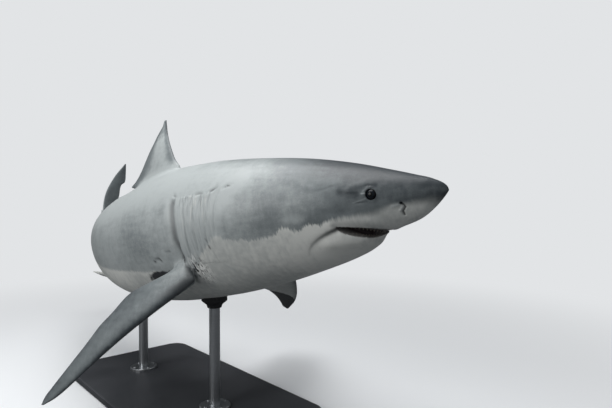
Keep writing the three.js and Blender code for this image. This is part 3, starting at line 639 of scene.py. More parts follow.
def fin_half(fin, rows, share, clear):
    """Half thickness across a fin: a third of the way back it is thickest, and where the trunk is near it
    flares, all along the chord but for the two edges. clear is how far a place stands off the trunk."""
    swell, reach = fin["flare"]
    lens = smooth(fin["thickness"])(rows) * LENS_SCALE * np.sqrt(share) * (1 - share)
    flare = swell * (4 * share * (1 - share) + FLARE_EDGE) ** FLARE_POWER
    return FIN_EDGE + lens + flare * np.exp(-np.maximum(clear, 0) / reach)


def midline_fin(fin):
    """A fin on the midline: at each height the section runs from the leading to the trailing edge. A
    flexed one bows to the left with the square of its height past a start."""
    z, share, face, s = fin_grid(fin)
    top, bottom, _ = half_sections(s)
    clear = np.where(z > 0, z - top, -z - bottom)
    start, length, amount = fin.get("flex", (0, 1, 0))
    y = face * fin_half(fin, z, share, clear) + amount * (np.maximum(0, z - start) / length) ** 2
    lie = np.stack([s, y, z + 0 * s], -1)
    return lie, bend(lie), np.stack([share, face, np.abs(z) + 0 * s], -1)


def paired_fin(fin, way):
    """A fin at the side: its middle line droops by an angle that grows towards the tip, and each section
    lies back along the body, swept and twisted."""
    side, turn, swept = way["side"], np.radians(way["twist"]), np.radians(way["sweep"])
    b, share, face, along = fin_grid(fin)

    def droop(at):
        """The angle by which the middle line goes down at a distance out."""
        return np.radians(way["droop"] + way["curve"] * at / fin["span"])

    middles = (np.arange(BLADE_PIECES) + 0.5) / BLADE_PIECES * b
    out_way = side * np.cos(droop(middles)).mean(1, keepdims=True) * b
    down_way = -np.sin(droop(middles)).mean(1, keepdims=True) * b
    angle = droop(b)
    aft = np.array([1.0, 0, 0])
    upper = np.stack([0 * b, side * np.sin(angle), np.cos(angle)], -1)
    chord_way = aft * np.cos(turn) - upper * np.sin(turn)
    thick_way = upper * np.cos(turn) + aft * np.sin(turn)
    line = np.stack([b * np.sin(swept), out_way * np.cos(swept), down_way * np.cos(swept)], -1)
    offset = face * fin_half(fin, b, share, b)
    root = np.array([fin["station"], side * fin["root"][0], fin["root"][1]])
    lie = root + line + (along * np.cos(swept))[..., None] * chord_way + offset[..., None] * thick_way
    return lie, bend_stiff(lie, fin["station"]), np.stack([share, face, b + 0 * share], -1)


def join_or_cut(operation, name, lie, places, blade):
    """Joins a closed tube of rings to the skin, or cuts it out of it, and gives back its helper object."""
    helper = placed(name, tube_mesh(
        name, places, lie=lie, blade=blade, kind=np.full(lie.shape[:2], KINDS.index(name))))
    change = skin.modifiers.new(name, "BOOLEAN")
    change.operation = operation
    change.solver = "MANIFOLD"
    change.object = helper
    return helper


helpers = [join_or_cut("UNION", name, *midline_fin(fin)) for name, fin in MIDLINE_FINS.items()]
helpers += [join_or_cut("UNION", name, *paired_fin(fin, way)) for name, (fin, way) in PAIRED_FINS.items()]


# ---- Mouth ----
# The mouth is a bow-shaped gap between the lips, cut in from the front and both sides to a shallow cavity
# whose lining is painted dark as shade, as in a closed-mouthed museum mount.
BOW_CENTRE = 9.9
BOW_REACH = np.linspace(0.2, 6.5, 1200)
BOW_FRONT = 3
MOUTH = {"turn": 95, "pieces": 160, "overshoot": 1.2, "depth": 0.36, "palate": 0.15}


def bow_place(reach, turn):
    """Place (s, y) at a distance from the bow's centre, each way round it from straight ahead."""
    return BOW_CENTRE - reach * np.cos(turn), reach * np.sin(turn)


def bow_radius(turn, lip):
    """How far the lip line lies from the bow's centre, each way round it: found by walking outwards from
    the centre until the plain skin at the lip's height is reached."""
    s, y = bow_place(BOW_REACH[None], turn[:, None])
    _, bottom, width = half_sections(np.maximum(s, 0.1))
    inside = ((y / width) ** 2 + (lip(s) / bottom) ** 2 < 1) & (s > BOW_FRONT)
    return BOW_REACH[inside.shape[1] - 1 - np.argmax(inside[:, ::-1], axis=1)]


def mouth_gap():
    """A bow of four-cornered sections: each runs inwards from outside the skin between the lips' heights."""
    turn = np.radians(np.linspace(-MOUTH["turn"], MOUTH["turn"], MOUTH["pieces"]))
    radius = (bow_radius(turn, upper_lip) + bow_radius(turn, lower_lip)) / 2
    outer, inner = radius + MOUTH["overshoot"], radius * MOUTH["depth"]
    s_lip, _ = bow_place(radius, turn)
    high, low, palate = upper_lip(s_lip), lower_lip(s_lip), MOUTH["palate"]
    section = ((outer, high), (inner, high + palate), (inner, low - palate), (outer, low))
    return np.stack([np.stack([*bow_place(reach, turn), height], -1) for reach, height in section], 1)


gap_lie = mouth_gap()
helpers.append(join_or_cut("DIFFERENCE", "mouth", gap_lie, bend(gap_lie), 0 * gap_lie))
body_mesh = bpy.data.meshes.new_from_object(skin.evaluated_get(bpy.context.evaluated_depsgraph_get()))
skin.modifiers.clear()
skin.data = body_mesh
body_mesh.name = "skin"
for helper in helpers:
    bpy.data.objects.remove(helper)


# ---- Hide ----
# Where fins and lips meet the trunk the flesh runs on in one surface, so the joined mesh is relaxed there.
# Its markings are slate grey above and white below, with a ragged border between, and with them is painted
# light and shade: shade in the slits, creases, folds and mouth, highlights on their edges, and light and
# shade in the slate's tone. They are kept as smooth numbers on the mesh that the finish turns into colour.

# A join makes at most NEW_RINGS rings of points. The relaxing dies away over rings round them, each of
# which keeps a share of the one before, and it is done in rounds. Joins ahead of LIP_END are at the lips.
NEW_RINGS = 4
FIN_JOINS = {"rings": 8, "keeps": 0.85, "rounds": 60}
LIP_JOINS = {"rings": 2, "keeps": 0.5, "rounds": 3}
LIP_END = 12
FULL_WEIGHT = 0.8
RELAX_STEP = 0.6
# Station, and the height of the border, half its softness and its raggedness there.
BORDER = [
    (0, -1.4), (1, -1.05), (1.4, -0.85), (1.85, -0.7), (2.3, -0.62), (3.1, -0.56), (4.1, -0.58), (4.8, -0.5),
    (5.3, -0.6), (5.8, -0.74), (6.3, -0.9), (7, -0.95), (8.9, -0.93), (10.1, -0.96), (10.9, -1.0),
    (11.7, -1.3), (12.7, -1.15), (13.9, -1.65), (15, -1.2), (16.7, -1.75), (18.4, -1.95), (19.9, -1.85),
    (21.2, -1.7), (22.4, -1.1), (24.5, -2.6), (26.2, -4.2), (27.5, -5.6), (29, -5.6), (31, -4.9),
    (34, -4.4), (38, -4.1), (47, -3.5), (58, -2.5), (70, -1.2), (80, -0.6), (88, -0.4),
]
BORDER_WIDTH = [
    (0, 1.1), (1.5, 0.9), (2, 0.6), (4, 0.45), (7, 0.5), (9, 0.42), (12, 0.2), (60, 0.25), (90, 0.3),
]
BORDER_RAGS = [(0, 0.12), (6, 0.2), (10, 0.35), (13, 0.7), (24, 0.7), (30, 0.5), (60, 0.6), (90, 0.5)]
FIN_RAGS = 0.9
# Depth into the slate on the fins, where 1 is all slate and -1 all white. Under a pectoral fin only the
# front edge is slate, a pelvic fin whitens below and towards its rear and tip, and the anal fin downwards.
ALL_SLATE = 8.0
PECTORAL_SLATE = {"above": 6.0, "edge": 0.16, "softness": 4}
PELVIC_SLATE = {"middle": -1, "face": 2, "towards_rear": 3, "towards_tip": 5, "tip": (1.3, 2.4)}
ANAL_SLATE = {"slate_to": 2, "falls_by": 2}
# Station, and how light the slate is on the flank and on the back: 0.15 deep, 1 middling and 1.75 pale. The
# back's pale tone is painted light from above, and the flank's lighter tone behind the gills is partly
# painted light and partly the hide's own tone.
FLANK_TONE = [
    (0, 0.4), (2, 0.5), (4.5, 0.6), (8, 0.66), (12, 1.06), (16, 1.28), (20, 1.36), (21.2, 1.3), (21.9, 1.65),
    (24, 1.72), (27, 1.7), (30, 1.45), (60, 1.45), (75, 1.2), (90, 1.0),
]
BACK_LIGHT_AND_TONE = [
    (0, 0.25), (3, 0.25), (6, 0.31), (9, 0.4), (12, 0.64), (15, 1.05), (19, 1.52), (24, 1.62), (30, 1.75),
    (60, 1.75), (75, 1.3),
]
# The back's tone starts at a share of the back's height and is full at another, lower behind the head.
BACK_START = 0.3
BACK_FULL = {"at": 0.8, "lower_by": 0.22, "over": (17, 21)}
# Painted shade along the ridge of the back, fading out behind the gills.
RIDGE_PAINTED_SHADE = {"height": (0.8, 1.0), "ends": (22, 32), "strength": 0.28}
# Soft patches of painted shade, and of painted light where the strength is below 0, as path, width and
# strength.
PAINTED_SHADE_AND_LIGHT_PATCHES = [
    ([(7.9, 1.15), (8.6, 1.34), (9.4, 1.57)], 0.34, 0.42), ([(6.1, 1.6), (6.7, 1.6)], 0.16, 0.3),
    ([(16.4, -0.5), (17.8, -0.7)], 1.0, 0.22), ([(12.0, -0.7), (13.0, -0.8)], 0.6, 0.25),
    ([(19.8, 4.2), (20.9, 3.2), (21.4, 2.2)], 0.9, -0.4), ([(28.9, 4.1), (28.7, 2.9), (29, 1.6)], 0.4, -0.4),
    ([(9.5, 2.6), (13.5, 3.2)], 0.5, -0.15), ([(5.6, -0.2), (8.6, -0.4)], 0.5, -0.3),
    ([(35.5, -1.0), (38, 0.3)], 2.6, 0.25), ([(17.2, 1.9), (15.2, 1.6)], 0.7, 0.22),
    ([(17.2, 0.9), (16.0, 0.7)], 0.6, 0.2), ([(14.8, -0.35), (13.2, -0.5)], 0.4, -0.3),
    ([(20.6, 1.1), (20.8, -0.6)], 0.5, -0.22),
]
# Tone of a fin at its root and out on its blade, and what the blade's front, middle, rear and tip add.
# The darker front of the pectoral fins is painted shade, and the pale root and blade of the first dorsal fin
# are partly painted light.
PECTORAL_TONE = {"root": 1.3, "blade": 0.72, "front": -0.4, "middle": 0.22, "rear": (-0.2, 0.7, 1)}
DORSAL_TONE = {"root": 1.7, "blade": 1.55, "front": -0.8, "rear": (-0.75, 0.4, 0.95), "tip": -0.6}
TAIL_TONE = {"root": 1.15, "blade": 0.75}
PECTORAL_ROOT_END = (-1, 3.5)
TAIL_ROOT_END = (1, 4.5)
DORSAL_ROOT_END = {"off_back": (0.3, 2.2), "towards_rear": (0.5, 0.9)}
DORSAL_TIP = (13.5, 17)
FRONT_WIDTH = 0.1
BLADE_MIDDLE = {"width": 0.22, "at": 0.35}
# Painted shade in the slits and folds, and painted highlights on the edges beside them.
SLIT_POWER = 1.8
PAINTED_SLIT_SHADE = {"width": 0.12, "at": 0.05}
FLAP_LIGHT = {"width": 0.18, "at": -0.22, "height": 0.9}
# Behind the last slit a broader painted shadow lies nearer to it, and is darker, low down.
LAST_SLIT_SHADE = {"at": 0.65, "nearer": 0.5, "width": 0.42, "strength": 0.62, "darker": 0.1}
LOWER_GILLS = (0.5, 3)
# The dark lines are painted shade in the creases and in the cuts of the scars, and the pale ones painted
# highlights on their edges.
# Lines along a set of paths: strength for each unit of the path's depth, distance from the path, width, how
# far off its ends the line's fade is held (0.5 for no fade), and whether it is on the right side only.
CREASE_SHADE_LINES = [
    (GILL_CREASES, 8, 0, 0.13, GILL_CREASE_ENDS, False), (EYE_CREASES, 5, 0, 0.12, EYE_CREASE_ENDS, False),
    (SCARS, 7, 0, 0.16, 0.5, True),
]
CREASE_HIGHLIGHT_LINES = [(EYE_CREASES, 6, 0.22, 0.12, EYE_CREASE_ENDS, False), (SCARS, 5, 0.36, 0.16, 0.5, True)]
# Painted shade in the nostril's slit and pit, in the cheek's fold, above the upper lip and in the eye's
# socket.
PAINTED_NOSTRIL_SHADE = {"width": 0.12, "height": 0.75}
PAINTED_PIT_SHADE = {"width": 0.12, "height": 1.3}
PIT_LINE_SHARE = 0.12
PAINTED_FOLD_SHADE = {"strength": 0.8, "width": 0.28, "widens": 0.2, "start": (9.9, 10.3)}
PAINTED_LIP_SHADE = {"width": 0.4, "height": 0.3}
PAINTED_SOCKET_SHADE = {"strength": 1.2, "edge": (0.48, 0.56)}
# Small spots of one tone as path, width and strength: painted highlights on the wedge behind the eye and on
# the nostril's lobe and flap, pale lines above and below the eye, and on the right side the dark nicks under
# the gills, a painted shadow running down to the pectoral fin's root, and one pale scratch.
HIGHLIGHTS_AND_PALE_SPOTS = [
    ([(7.0, 1.04), (7.4, 1.1)], 0.07, 1.0), ([(6.65, 1.6), (7.0, 1.5), (7.25, 1.3)], 0.08, 0.5),
    ([(7.1, 0.58), (7.6, 0.46), (8.2, 0.36)], 0.07, 0.55), ([(4.3, -0.5), (4.95, -0.6)], 0.13, 0.9),
    ([(4.02, -0.8), (4.25, -1.05)], 0.1, 0.5),
]
NICKS_AND_ROOT_SHADOW = [
    ([(23.66, -2.1), (23.6, -2.4)], 0.16, 0.7), ([(23.85, -1.3), (23.7, -1.8)], 0.1, 0.45),
    ([(27.5, -4.2), (27.5, -5.0), (27.9, -6.0)], 0.45, 0.6),
]
SCRATCHES = [([(22.8, -4.38), (22.4, -4.8), (22.1, -5.09)], 0.12, 0.8)]
# A painted shadow along the front of the pectoral fins' root, on their upper face.
PAINTED_FIN_ROOT_SHADE = {"strength": 0.72, "front": (0.08, 0.34), "out": (1.2, 5.5)}
# The mouth's lining, and the lips' edges where the cut meets the skin, are painted dark as shade.
LIP_SHADED_MOUTH = 0.7
# Ellipses as (station, height) and (half length, half height). The blotch's ink is deepest in its middle,
# and the speckles end a little outside theirs.
AXIL_BLOTCH = ((33.0, -5.25), (3.1, 0.95))
AXIL_INK = 1.3
SPECKLED = ((26.2, -4.6), (1.2, 1.5))
SPECKLED_END = 1.4
PECTORAL_TIP_INK = {"start": 18.3, "rear_sooner": 7.5, "softness": 1.2}


def neighbours_mean(values, edges, count):
    """Mean of the values of each point's neighbours along the mesh's edges."""
    a, b = edges.T
    shares = np.bincount(a, minlength=count) + np.bincount(b, minlength=count)
    flat = values.reshape(count, -1)
    total = np.stack([
        np.bincount(a, weights=row[b], minlength=count) + np.bincount(b, weights=row[a], minlength=count)
        for row in flat.T
    ], -1)
    return (total / np.maximum(shares, 1)[:, None]).reshape(values.shape)


def spread(seed, edges, rings, keeps):
    """A weight of 1 at the seeds, of which each ring of neighbours round them keeps a share."""
    weight = seed.astype(float)
    a, b = edges.T
    for _ in range(rings):
        wider = weight.copy()
        np.maximum.at(wider, a, weight[b] * keeps)
        np.maximum.at(wider, b, weight[a] * keeps)
        weight = wider
    return weight


def fill_joins(kind, edges, *words):
    """Gives the points that the joins made the mean of their neighbours' values, ring by ring."""
    known = (kind >= 0.5).astype(float)
    for _ in range(NEW_RINGS):
        share = neighbours_mean(known, edges, len(kind))
        gap = (known == 0) & (share > 0)
        for values in words:
            mean = neighbours_mean(values * known[:, None], edges, len(kind))
            values[gap] = (mean / np.maximum(share, 1e-9)[:, None])[gap]
        known[gap] = 1


def relax(places, edges, seed, rings, keeps, rounds):
    """Moves the places near the seeds towards the mean of their neighbours, most at the seeds."""
    weight = step_between(spread(seed, edges, rings, keeps), keeps ** (rings + 1), FULL_WEIGHT)
    for _ in range(rounds):
        places += RELAX_STEP * weight[:, None] * (neighbours_mean(places, edges, len(places)) - places)


def smooth_shaded(mesh, smoothly=True):
    """Shades every face of a mesh smoothly or flat."""
    mesh.polygons.foreach_set("use_smooth", np.full(len(mesh.polygons), smoothly))


edges = edge_ends(body_mesh)
kind, lie, blade = (read_word(body_mesh, word) for word in ("kind", "lie", "blade"))
fill_joins(kind, edges, lie, blade)
places = np.empty((len(kind), 3), dtype=np.float32)
body_mesh.vertices.foreach_get("co", places.ravel())
places = places.astype(float)
at_lips = (kind < 0.5) & (lie[:, 0] < LIP_END)
relax(places, edges, (kind < 0.5) & ~at_lips, **FIN_JOINS)
relax(places, edges, at_lips, **LIP_JOINS)
body_mesh.vertices.foreach_set("co", places.ravel())
smooth_shaded(body_mesh)

s, y, z = lie.T
side = np.stack([s, z], -1)
right = y < 0
share, face, reach = blade.T
is_kind = {name: kind == number for number, name in enumerate(KINDS)}
on_trunk = kind <= 1.5
paired = is_kind["pectoral_right"] | is_kind["pectoral_left"]
pelvic = is_kind["pelvic_right"] | is_kind["pelvic_left"]
tail = is_kind["tail_upper"] | is_kind["tail_lower"]


def slate_depth():
    """How far each point lies into the slate, in half widths of the border."""
    depth = (z - smooth(BORDER)(s)) / smooth(BORDER_WIDTH)(s)
    under = PECTORAL_SLATE["softness"] * (PECTORAL_SLATE["edge"] - share)
    depth = np.where(paired, np.where(face > 0, PECTORAL_SLATE["above"], under), depth)
    whiter = PELVIC_SLATE["towards_rear"] * share
    whiter = whiter + PELVIC_SLATE["towards_tip"] * step_between(reach, *PELVIC_SLATE["tip"])
    depth = np.where(pelvic, PELVIC_SLATE["middle"] + PELVIC_SLATE["face"] * face - whiter, depth)
    depth = np.where(is_kind["dorsal_first"] | is_kind["dorsal_second"] | tail, ALL_SLATE, depth)
    falling = ANAL_SLATE["falls_by"] * (reach - ANAL_SLATE["slate_to"])
    return np.where(is_kind["anal"], ANAL_SLATE["slate_to"] - falling, depth)


def lines(rows):
    """Bells beside the paths of each set, times the path's depth, faded towards its ends."""
    found = []
    for paths, strength, at, width, ends, right_only in rows:
        for path, depth in paths:
            gap, along = path_distance(side, path)
            line = hump(gap, width, at, strength * depth) * fade(along, ends)
            found.append(line * right if right_only else line)
    return found


def shade_and_nick_lines():
    """How dark the painted shade in the slits, creases, folds, socket, nostril and above the upper lip is,
    with the dark nicks and the painted shadow at a pectoral fin's root: the darkest of the lines at each
    point.
    """
    rows = gill_offsets(s, z)
    found = [strength ** SLIT_POWER * hump(offset, **PAINTED_SLIT_SHADE) for offset, strength in rows]
    offset, strength = rows[-1]
    low = step_between(-z, *LOWER_GILLS)
    shade = hump(offset + LAST_SLIT_SHADE["nearer"] * low, LAST_SLIT_SHADE["width"], LAST_SLIT_SHADE["at"])
    found.append((LAST_SLIT_SHADE["strength"] + LAST_SLIT_SHADE["darker"] * low) * strength * shade)
    found += lines(CREASE_SHADE_LINES)
    gap, along = path_distance(side, NOSTRIL)
    found += [hump(gap, **PAINTED_NOSTRIL_SHADE), hump(gap, **PAINTED_PIT_SHADE) * hump(along, PIT_LINE_SHARE)]
    gap, along = path_distance(side, CHEEK_FOLD)
    line = hump(gap, PAINTED_FOLD_SHADE["width"] + PAINTED_FOLD_SHADE["widens"] * along) * step_between(s, *PAINTED_FOLD_SHADE["start"])
    found.append(PAINTED_FOLD_SHADE["strength"] * (1 - along) * line)
    gap, _ = path_distance(side, UPPER_LIP)
    found.append(hump(gap, **PAINTED_LIP_SHADE) * (z > upper_lip(s)))
    found.append(PAINTED_SOCKET_SHADE["strength"] * (1 - step_between(eye_gap(s, y, z), *PAINTED_SOCKET_SHADE["edge"])))
    found += [nick * right for nick in bells(side, NICKS_AND_ROOT_SHADOW)]
    root = 1 - step_between(share, *PAINTED_FIN_ROOT_SHADE["front"])
    root = PAINTED_FIN_ROOT_SHADE["strength"] * root * (1 - step_between(reach, *PAINTED_FIN_ROOT_SHADE["out"]))
    return np.where(on_trunk, np.maximum.reduce(found), root * paired * (face > 0))


def highlights_and_pale_marks():
    """How pale the painted highlights on the edges of flaps, creases and scars, on the eye's wedge and on
    the nostril's lobe and flap are, with the pale lines by the eye and the pale scratch: the palest at each
    point.
    """
    found = [strength * hump(offset, **FLAP_LIGHT) for offset, strength in gill_offsets(s, z)]
    found += lines(CREASE_HIGHLIGHT_LINES) + bells(side, HIGHLIGHTS_AND_PALE_SPOTS)
    found += [scratch * right for scratch in bells(side, SCRATCHES)]
    return np.where(on_trunk, np.maximum.reduce(found), 0)


def in_ellipse(ellipse):
    """Distance from an ellipse's middle, with its edge as 1."""
    (middle_s, middle_z), (long, high) = ellipse
    return np.hypot((s - middle_s) / long, (z - middle_z) / high)


def ink_depth():
    """How far each point lies into ink: the blotch behind the pectoral fin, and the underside of its tip,
    which starts sooner towards the rear edge."""
    blotch = np.where(on_trunk, AXIL_INK * (1 - in_ellipse(AXIL_BLOTCH)), -1.0)
    tip = reach + PECTORAL_TIP_INK["rear_sooner"] * share - PECTORAL_TIP_INK["start"]
    return np.where(paired & (face < 0), tip / PECTORAL_TIP_INK["softness"], blotch)


def fin_tone(out, root, blade, front=0, middle=0, rear=(0, 0, 1), tip=0):
    """How light a fin is, from its root's tone to its blade's as out goes from 0 to 1. The blade has bells
    at its front and middle and steps at its rear and tip."""
    blade = blade + front * hump(share, FRONT_WIDTH) + middle * hump(share, **BLADE_MIDDLE)
    blade = blade + rear[0] * step_between(share, *rear[1:]) + tip * step_between(reach, *DORSAL_TIP)
    return root * (1 - out) + blade * out


def slate_light_and_tone():
    """How light the slate is: from the flank's tone to the back's painted light and tone, less the painted
    ridge shade and the patches of painted shade and light, and the fins' own.
    """
    top, _, _ = half_sections(s)
    high = z / np.maximum(top, 0.1)
    full = BACK_FULL["at"] - BACK_FULL["lower_by"] * step_between(s, *BACK_FULL["over"])
    on_back = step_between(high, BACK_START, full)
    tone = smooth(FLANK_TONE)(s) * (1 - on_back) + smooth(BACK_LIGHT_AND_TONE)(s) * on_back
    ridge = step_between(high, *RIDGE_PAINTED_SHADE["height"]) * (1 - step_between(s, *RIDGE_PAINTED_SHADE["ends"]))
    tone = tone - RIDGE_PAINTED_SHADE["strength"] * ridge - sum(bells(side, PAINTED_SHADE_AND_LIGHT_PATCHES))

    tone = np.where(paired, fin_tone(step_between(reach, *PECTORAL_ROOT_END), **PECTORAL_TONE), tone)
    tone = np.where(tail, fin_tone(step_between(reach, *TAIL_ROOT_END), **TAIL_TONE), tone)
    out = step_between(reach - top, *DORSAL_ROOT_END["off_back"])
    out = out + (1 - out) * step_between(share, *DORSAL_ROOT_END["towards_rear"])
    return np.where(is_kind["dorsal_first"], fin_tone(out, **DORSAL_TONE), tone)


words = {
    "above": slate_depth(),
    "rags": np.where(on_trunk, smooth(BORDER_RAGS)(s) / smooth(BORDER_WIDTH)(s), FIN_RAGS),
    "painted_shade_and_nicks": shade_and_nick_lines(),
    "pale": highlights_and_pale_marks(),
    "shaded_mouth": np.where(at_lips, LIP_SHADED_MOUTH, is_kind["mouth"]),
    "ink": ink_depth(),
    "tone": slate_light_and_tone(),
    "speckled": np.where(on_trunk & right, np.clip(SPECKLED_END - in_ellipse(SPECKLED), 0, 1), 0),
    "pleated": np.where(on_trunk, pleated_share(s, z), 0),
    "lie": lie,
}
for word, values in words.items():
    write_word(body_mesh, word, values)
for word in ("kind", "blade"):
    body_mesh.attributes.remove(body_mesh.attributes[word])


class Wire:
    """A socket of a material's nodes. Sums, differences and products of numbers add Math nodes."""

    def __init__(self, tree, socket=None):
        self.tree = tree
        self.socket = socket

    def node(self, kind, settings=None, inputs=None, output=0):
        """Any node: its type, its settings, set first, and the values or wires of its sockets."""
        node = self.tree.nodes.new(kind)
        for key, value in (settings or {}).items():
            setattr(node, key, value)
        for key, value in (inputs or {}).items():
            if isinstance(value, Wire):
                self.tree.links.new(value.socket, node.inputs[key])
            else:
                node.inputs[key].default_value = value
        return Wire(self.tree, node.outputs[output])

    def maths(self, operation, *values):
        """A number worked out from others."""
        return self.node("ShaderNodeMath", {"operation": operation}, dict(enumerate(values)))

    def __add__(self, other):
        return self.maths("ADD", self, other)

    def __sub__(self, other):
        return self.maths("SUBTRACT", self, other)

    def __rsub__(self, other):
        return self.maths("SUBTRACT", other, self)

    def __mul__(self, other):
        return self.maths("MULTIPLY", self, other)

    __radd__ = __add__
    __rmul__ = __mul__

    def step(self, low, high):
        """0 below low, 1 above high, and a smooth step between."""
        settings = {"interpolation_type": "SMOOTHSTEP"}
        return self.node("ShaderNodeMapRange", settings, {"Value": self, "From Min": low, "From Max": high})

    def blend(self, none, full):
        """The colour none where this wire is 0 and full where it is 1. A Mix node has sockets of one name
        for each kind of value, so those of colours are given by number."""
        return self.node("ShaderNodeMix", {"data_type": "RGBA"}, {0: self, 6: none, 7: full}, 2)

    def blend_shaders(self, none, full):
        """The shader none where this wire is 0 and full where it is 1."""
        return self.node("ShaderNodeMixShader", inputs={0: self, 1: none, 2: full})

    def word(self, name, output="Fac"):
        """A number kept on the mesh, or a place with the output Vector."""
        return self.node("ShaderNodeAttribute", {"attribute_name": name}, output=output)

    def place(self):
        """The object's own place, in metres."""
        return self.node("ShaderNodeTexCoord", output="Object")

    def stretched(self, place, scale):
        """A place scaled along each way."""
        return self.node("ShaderNodeMapping", inputs={"Vector": place, "Scale": scale})

    def noise(self, scale, detail, place=None):
        """Soft noise from 0 to 1 at a scale per metre, or per unit of the given place."""
        inputs = {"Vector": place or self.place(), "Scale": scale, "Detail": detail}
        return self.node("ShaderNodeTexNoise", inputs=inputs)

    def bump(self, height, distance, strength, under=None):
        """The way that a surface faces when a height is pressed into it."""
        inputs = {"Height": height, "Distance": distance, "Strength": strength}
        if under:
            inputs["Normal"] = under
        return self.node("ShaderNodeBump", inputs=inputs)


def colour(red, green, blue):
    """A colour on a screen's scale of 0 to 255, as the light that it stands for."""
    part = (np.array([red, green, blue]) / 255 + 0.055) / 1.055
    return (*(part ** 2.4).tolist(), 1.0)


def new_finish(name, **fixed):
    """A material with one Principled shader, whose fixed sockets have the given values."""
    material = bpy.data.materials.new(name)
    material.use_nodes = True
    shader = material.node_tree.nodes["Principled BSDF"]
    for key, value in fixed.items():
        shader.inputs[key.replace("_", " ")].default_value = value
    return material, Wire(material.node_tree), shader


def feed(node, **sockets):
    """Links wires to a node's sockets."""
    for key, value in sockets.items():
        value.tree.links.new(value.socket, node.inputs[key.replace("_", " ")])


def swings(noises, shares, start=None):
    """Sum of the named noises, each less its middle value and times its share, added to any start."""
    first, *others = [share * (noises[name] - 0.5) for name, share in shares.items()]
    return sum(others, start + first if start else first)


SLATE_DEEP = colour(48, 55, 60)
SLATE = colour(112, 119, 121)
SLATE_PALE = colour(174, 180, 180)
WHITE_HIDE = colour(226, 227, 222)
SOILED_WHITE_AND_PLEAT_LIGHT = colour(190, 193, 190)
WHITE_CLEAN = colour(248, 248, 245)
INK_AND_SHADE = colour(26, 29, 33)
SHADED_MOUTH_COLOUR = colour(60, 50, 51)
# Noises of the hide with their detail, by scale for each metre and by stretch along the straight body.
ROUND_NOISES = {
    "broad": (2.3, 4), "blotches": (9, 5), "speckle": (38, 4), "fine": (170, 3), "grain": (520, 2),
}
DRAWN_NOISES = {
    "fringe": ((2.6, 0.5, 0.55), 4), "lengthwise": ((0.45, 1.4, 1.7), 4), "bristle": ((6.5, 0.8, 0.9), 3),
    "dark_dots": ((5.2, 2.0, 1.6), 1), "pale_dots": ((4.4, 2.0, 1.3), 1), "pleats": ((5.5, 0.4, 0.5), 2),
}
# Shares of the noises in each marking, and the two values between which it steps from none to full.
MOTTLE = {"broad": 0.35, "blotches": 0.35, "speckle": 0.45, "fringe": 0.2, "lengthwise": 0.35, "fine": 0.25}
RAGGEDNESS = {"blotches": 0.6, "fringe": 1.3, "bristle": 1.3, "speckle": 0.5}
INK_EDGE = {"blotches": 0.9, "speckle": 0.7}
DEEP_TO_MIDDLING = (0.15, 1.0)
MIDDLING_TO_PALE = (0.85, 1.75)
WHITE_STEP = {"speckle": 0.5, "fringe": 0.3, "clean": (0.5, 0.95)}
BORDER_STEP = (-1.0, 1.0)
INK_STEP = (-0.05, 0.3)
DOT_STEPS = {"pale": (0.5, 0.58), "dark": (0.54, 0.62)}
PLEAT_STEPS = {"dark": (0.5, 0.72), "dark_share": 0.42, "pale": (0.48, 0.3)}
PALE_EDGE = {"least": 0.35, "speckle": 0.5}
PAINTED_SHADE_STEP = (0.02, 1.05)
# Distance in metres and strength of each bump.
SKIN_GRAIN = (0.0006, 0.5)
SKIN_LUMPS = (0.004, 0.2)
LUMP_BLOTCHES = 0.6
PLEAT_FOLDS = (0.008, 0.5)
ROUGHNESS = {"least": 0.36, "speckle": 0.22}

hide, wire, shader = new_finish("hide", Coat_Weight=0.12, Coat_Roughness=0.35)
noises = {name: wire.noise(scale, detail) for name, (scale, detail) in ROUND_NOISES.items()}
for name, (scale, detail) in DRAWN_NOISES.items():
    noises[name] = wire.noise(1.0, detail, wire.stretched(wire.word("lie", "Vector"), scale))
speckle = noises["speckle"]
pleats = noises["pleats"]
speckled = wire.word("speckled")
pleated = wire.word("pleated")

tone = wire.word("tone") + swings(noises, MOTTLE)
grey = tone.step(*DEEP_TO_MIDDLING).blend(SLATE_DEEP, SLATE)
grey = tone.step(*MIDDLING_TO_PALE).blend(grey, SLATE_PALE)
clean = noises["broad"] + WHITE_STEP["speckle"] * speckle + WHITE_STEP["fringe"] * (noises["fringe"] - 0.5)
white = clean.step(*WHITE_STEP["clean"]).blend(SOILED_WHITE_AND_PLEAT_LIGHT, WHITE_HIDE)
above = wire.word("above") + wire.word("rags") * swings(noises, RAGGEDNESS)
body_colour = above.step(*BORDER_STEP).blend(white, grey)
inked = swings(noises, INK_EDGE, wire.word("ink"))
for amount, full in (
    (inked.step(*INK_STEP), INK_AND_SHADE),
    (speckled * noises["pale_dots"].step(*DOT_STEPS["pale"]), WHITE_CLEAN),
    (speckled * noises["dark_dots"].step(*DOT_STEPS["dark"]), INK_AND_SHADE),
    # The pleats are painted darker in the hollows of their bump and paler on its ridges, as painted shade
    # and light.
    (pleated * pleats.step(*PLEAT_STEPS["dark"]) * PLEAT_STEPS["dark_share"], SLATE_DEEP),
    (pleated * pleats.step(*PLEAT_STEPS["pale"]), SOILED_WHITE_AND_PLEAT_LIGHT),
    # Painted highlights, with the pale lines by the eye and the pale scratch.
    (wire.word("pale") * (PALE_EDGE["least"] + PALE_EDGE["speckle"] * speckle), SLATE_PALE),
    # Painted shade in the slits, creases, folds, socket and nostril, with the dark nicks.
    (wire.word("painted_shade_and_nicks").step(*PAINTED_SHADE_STEP), INK_AND_SHADE),
    # The mouth's lining and the lips' edges, painted dark as shade.
    (wire.word("shaded_mouth"), SHADED_MOUTH_COLOUR),
):
    body_colour = amount.blend(body_colour, full)
relief = wire.bump(noises["grain"], *SKIN_GRAIN)
relief = wire.bump(speckle + LUMP_BLOTCHES * noises["blotches"], *SKIN_LUMPS, relief)
relief = wire.bump(pleated * (1 - pleats), *PLEAT_FOLDS, relief)
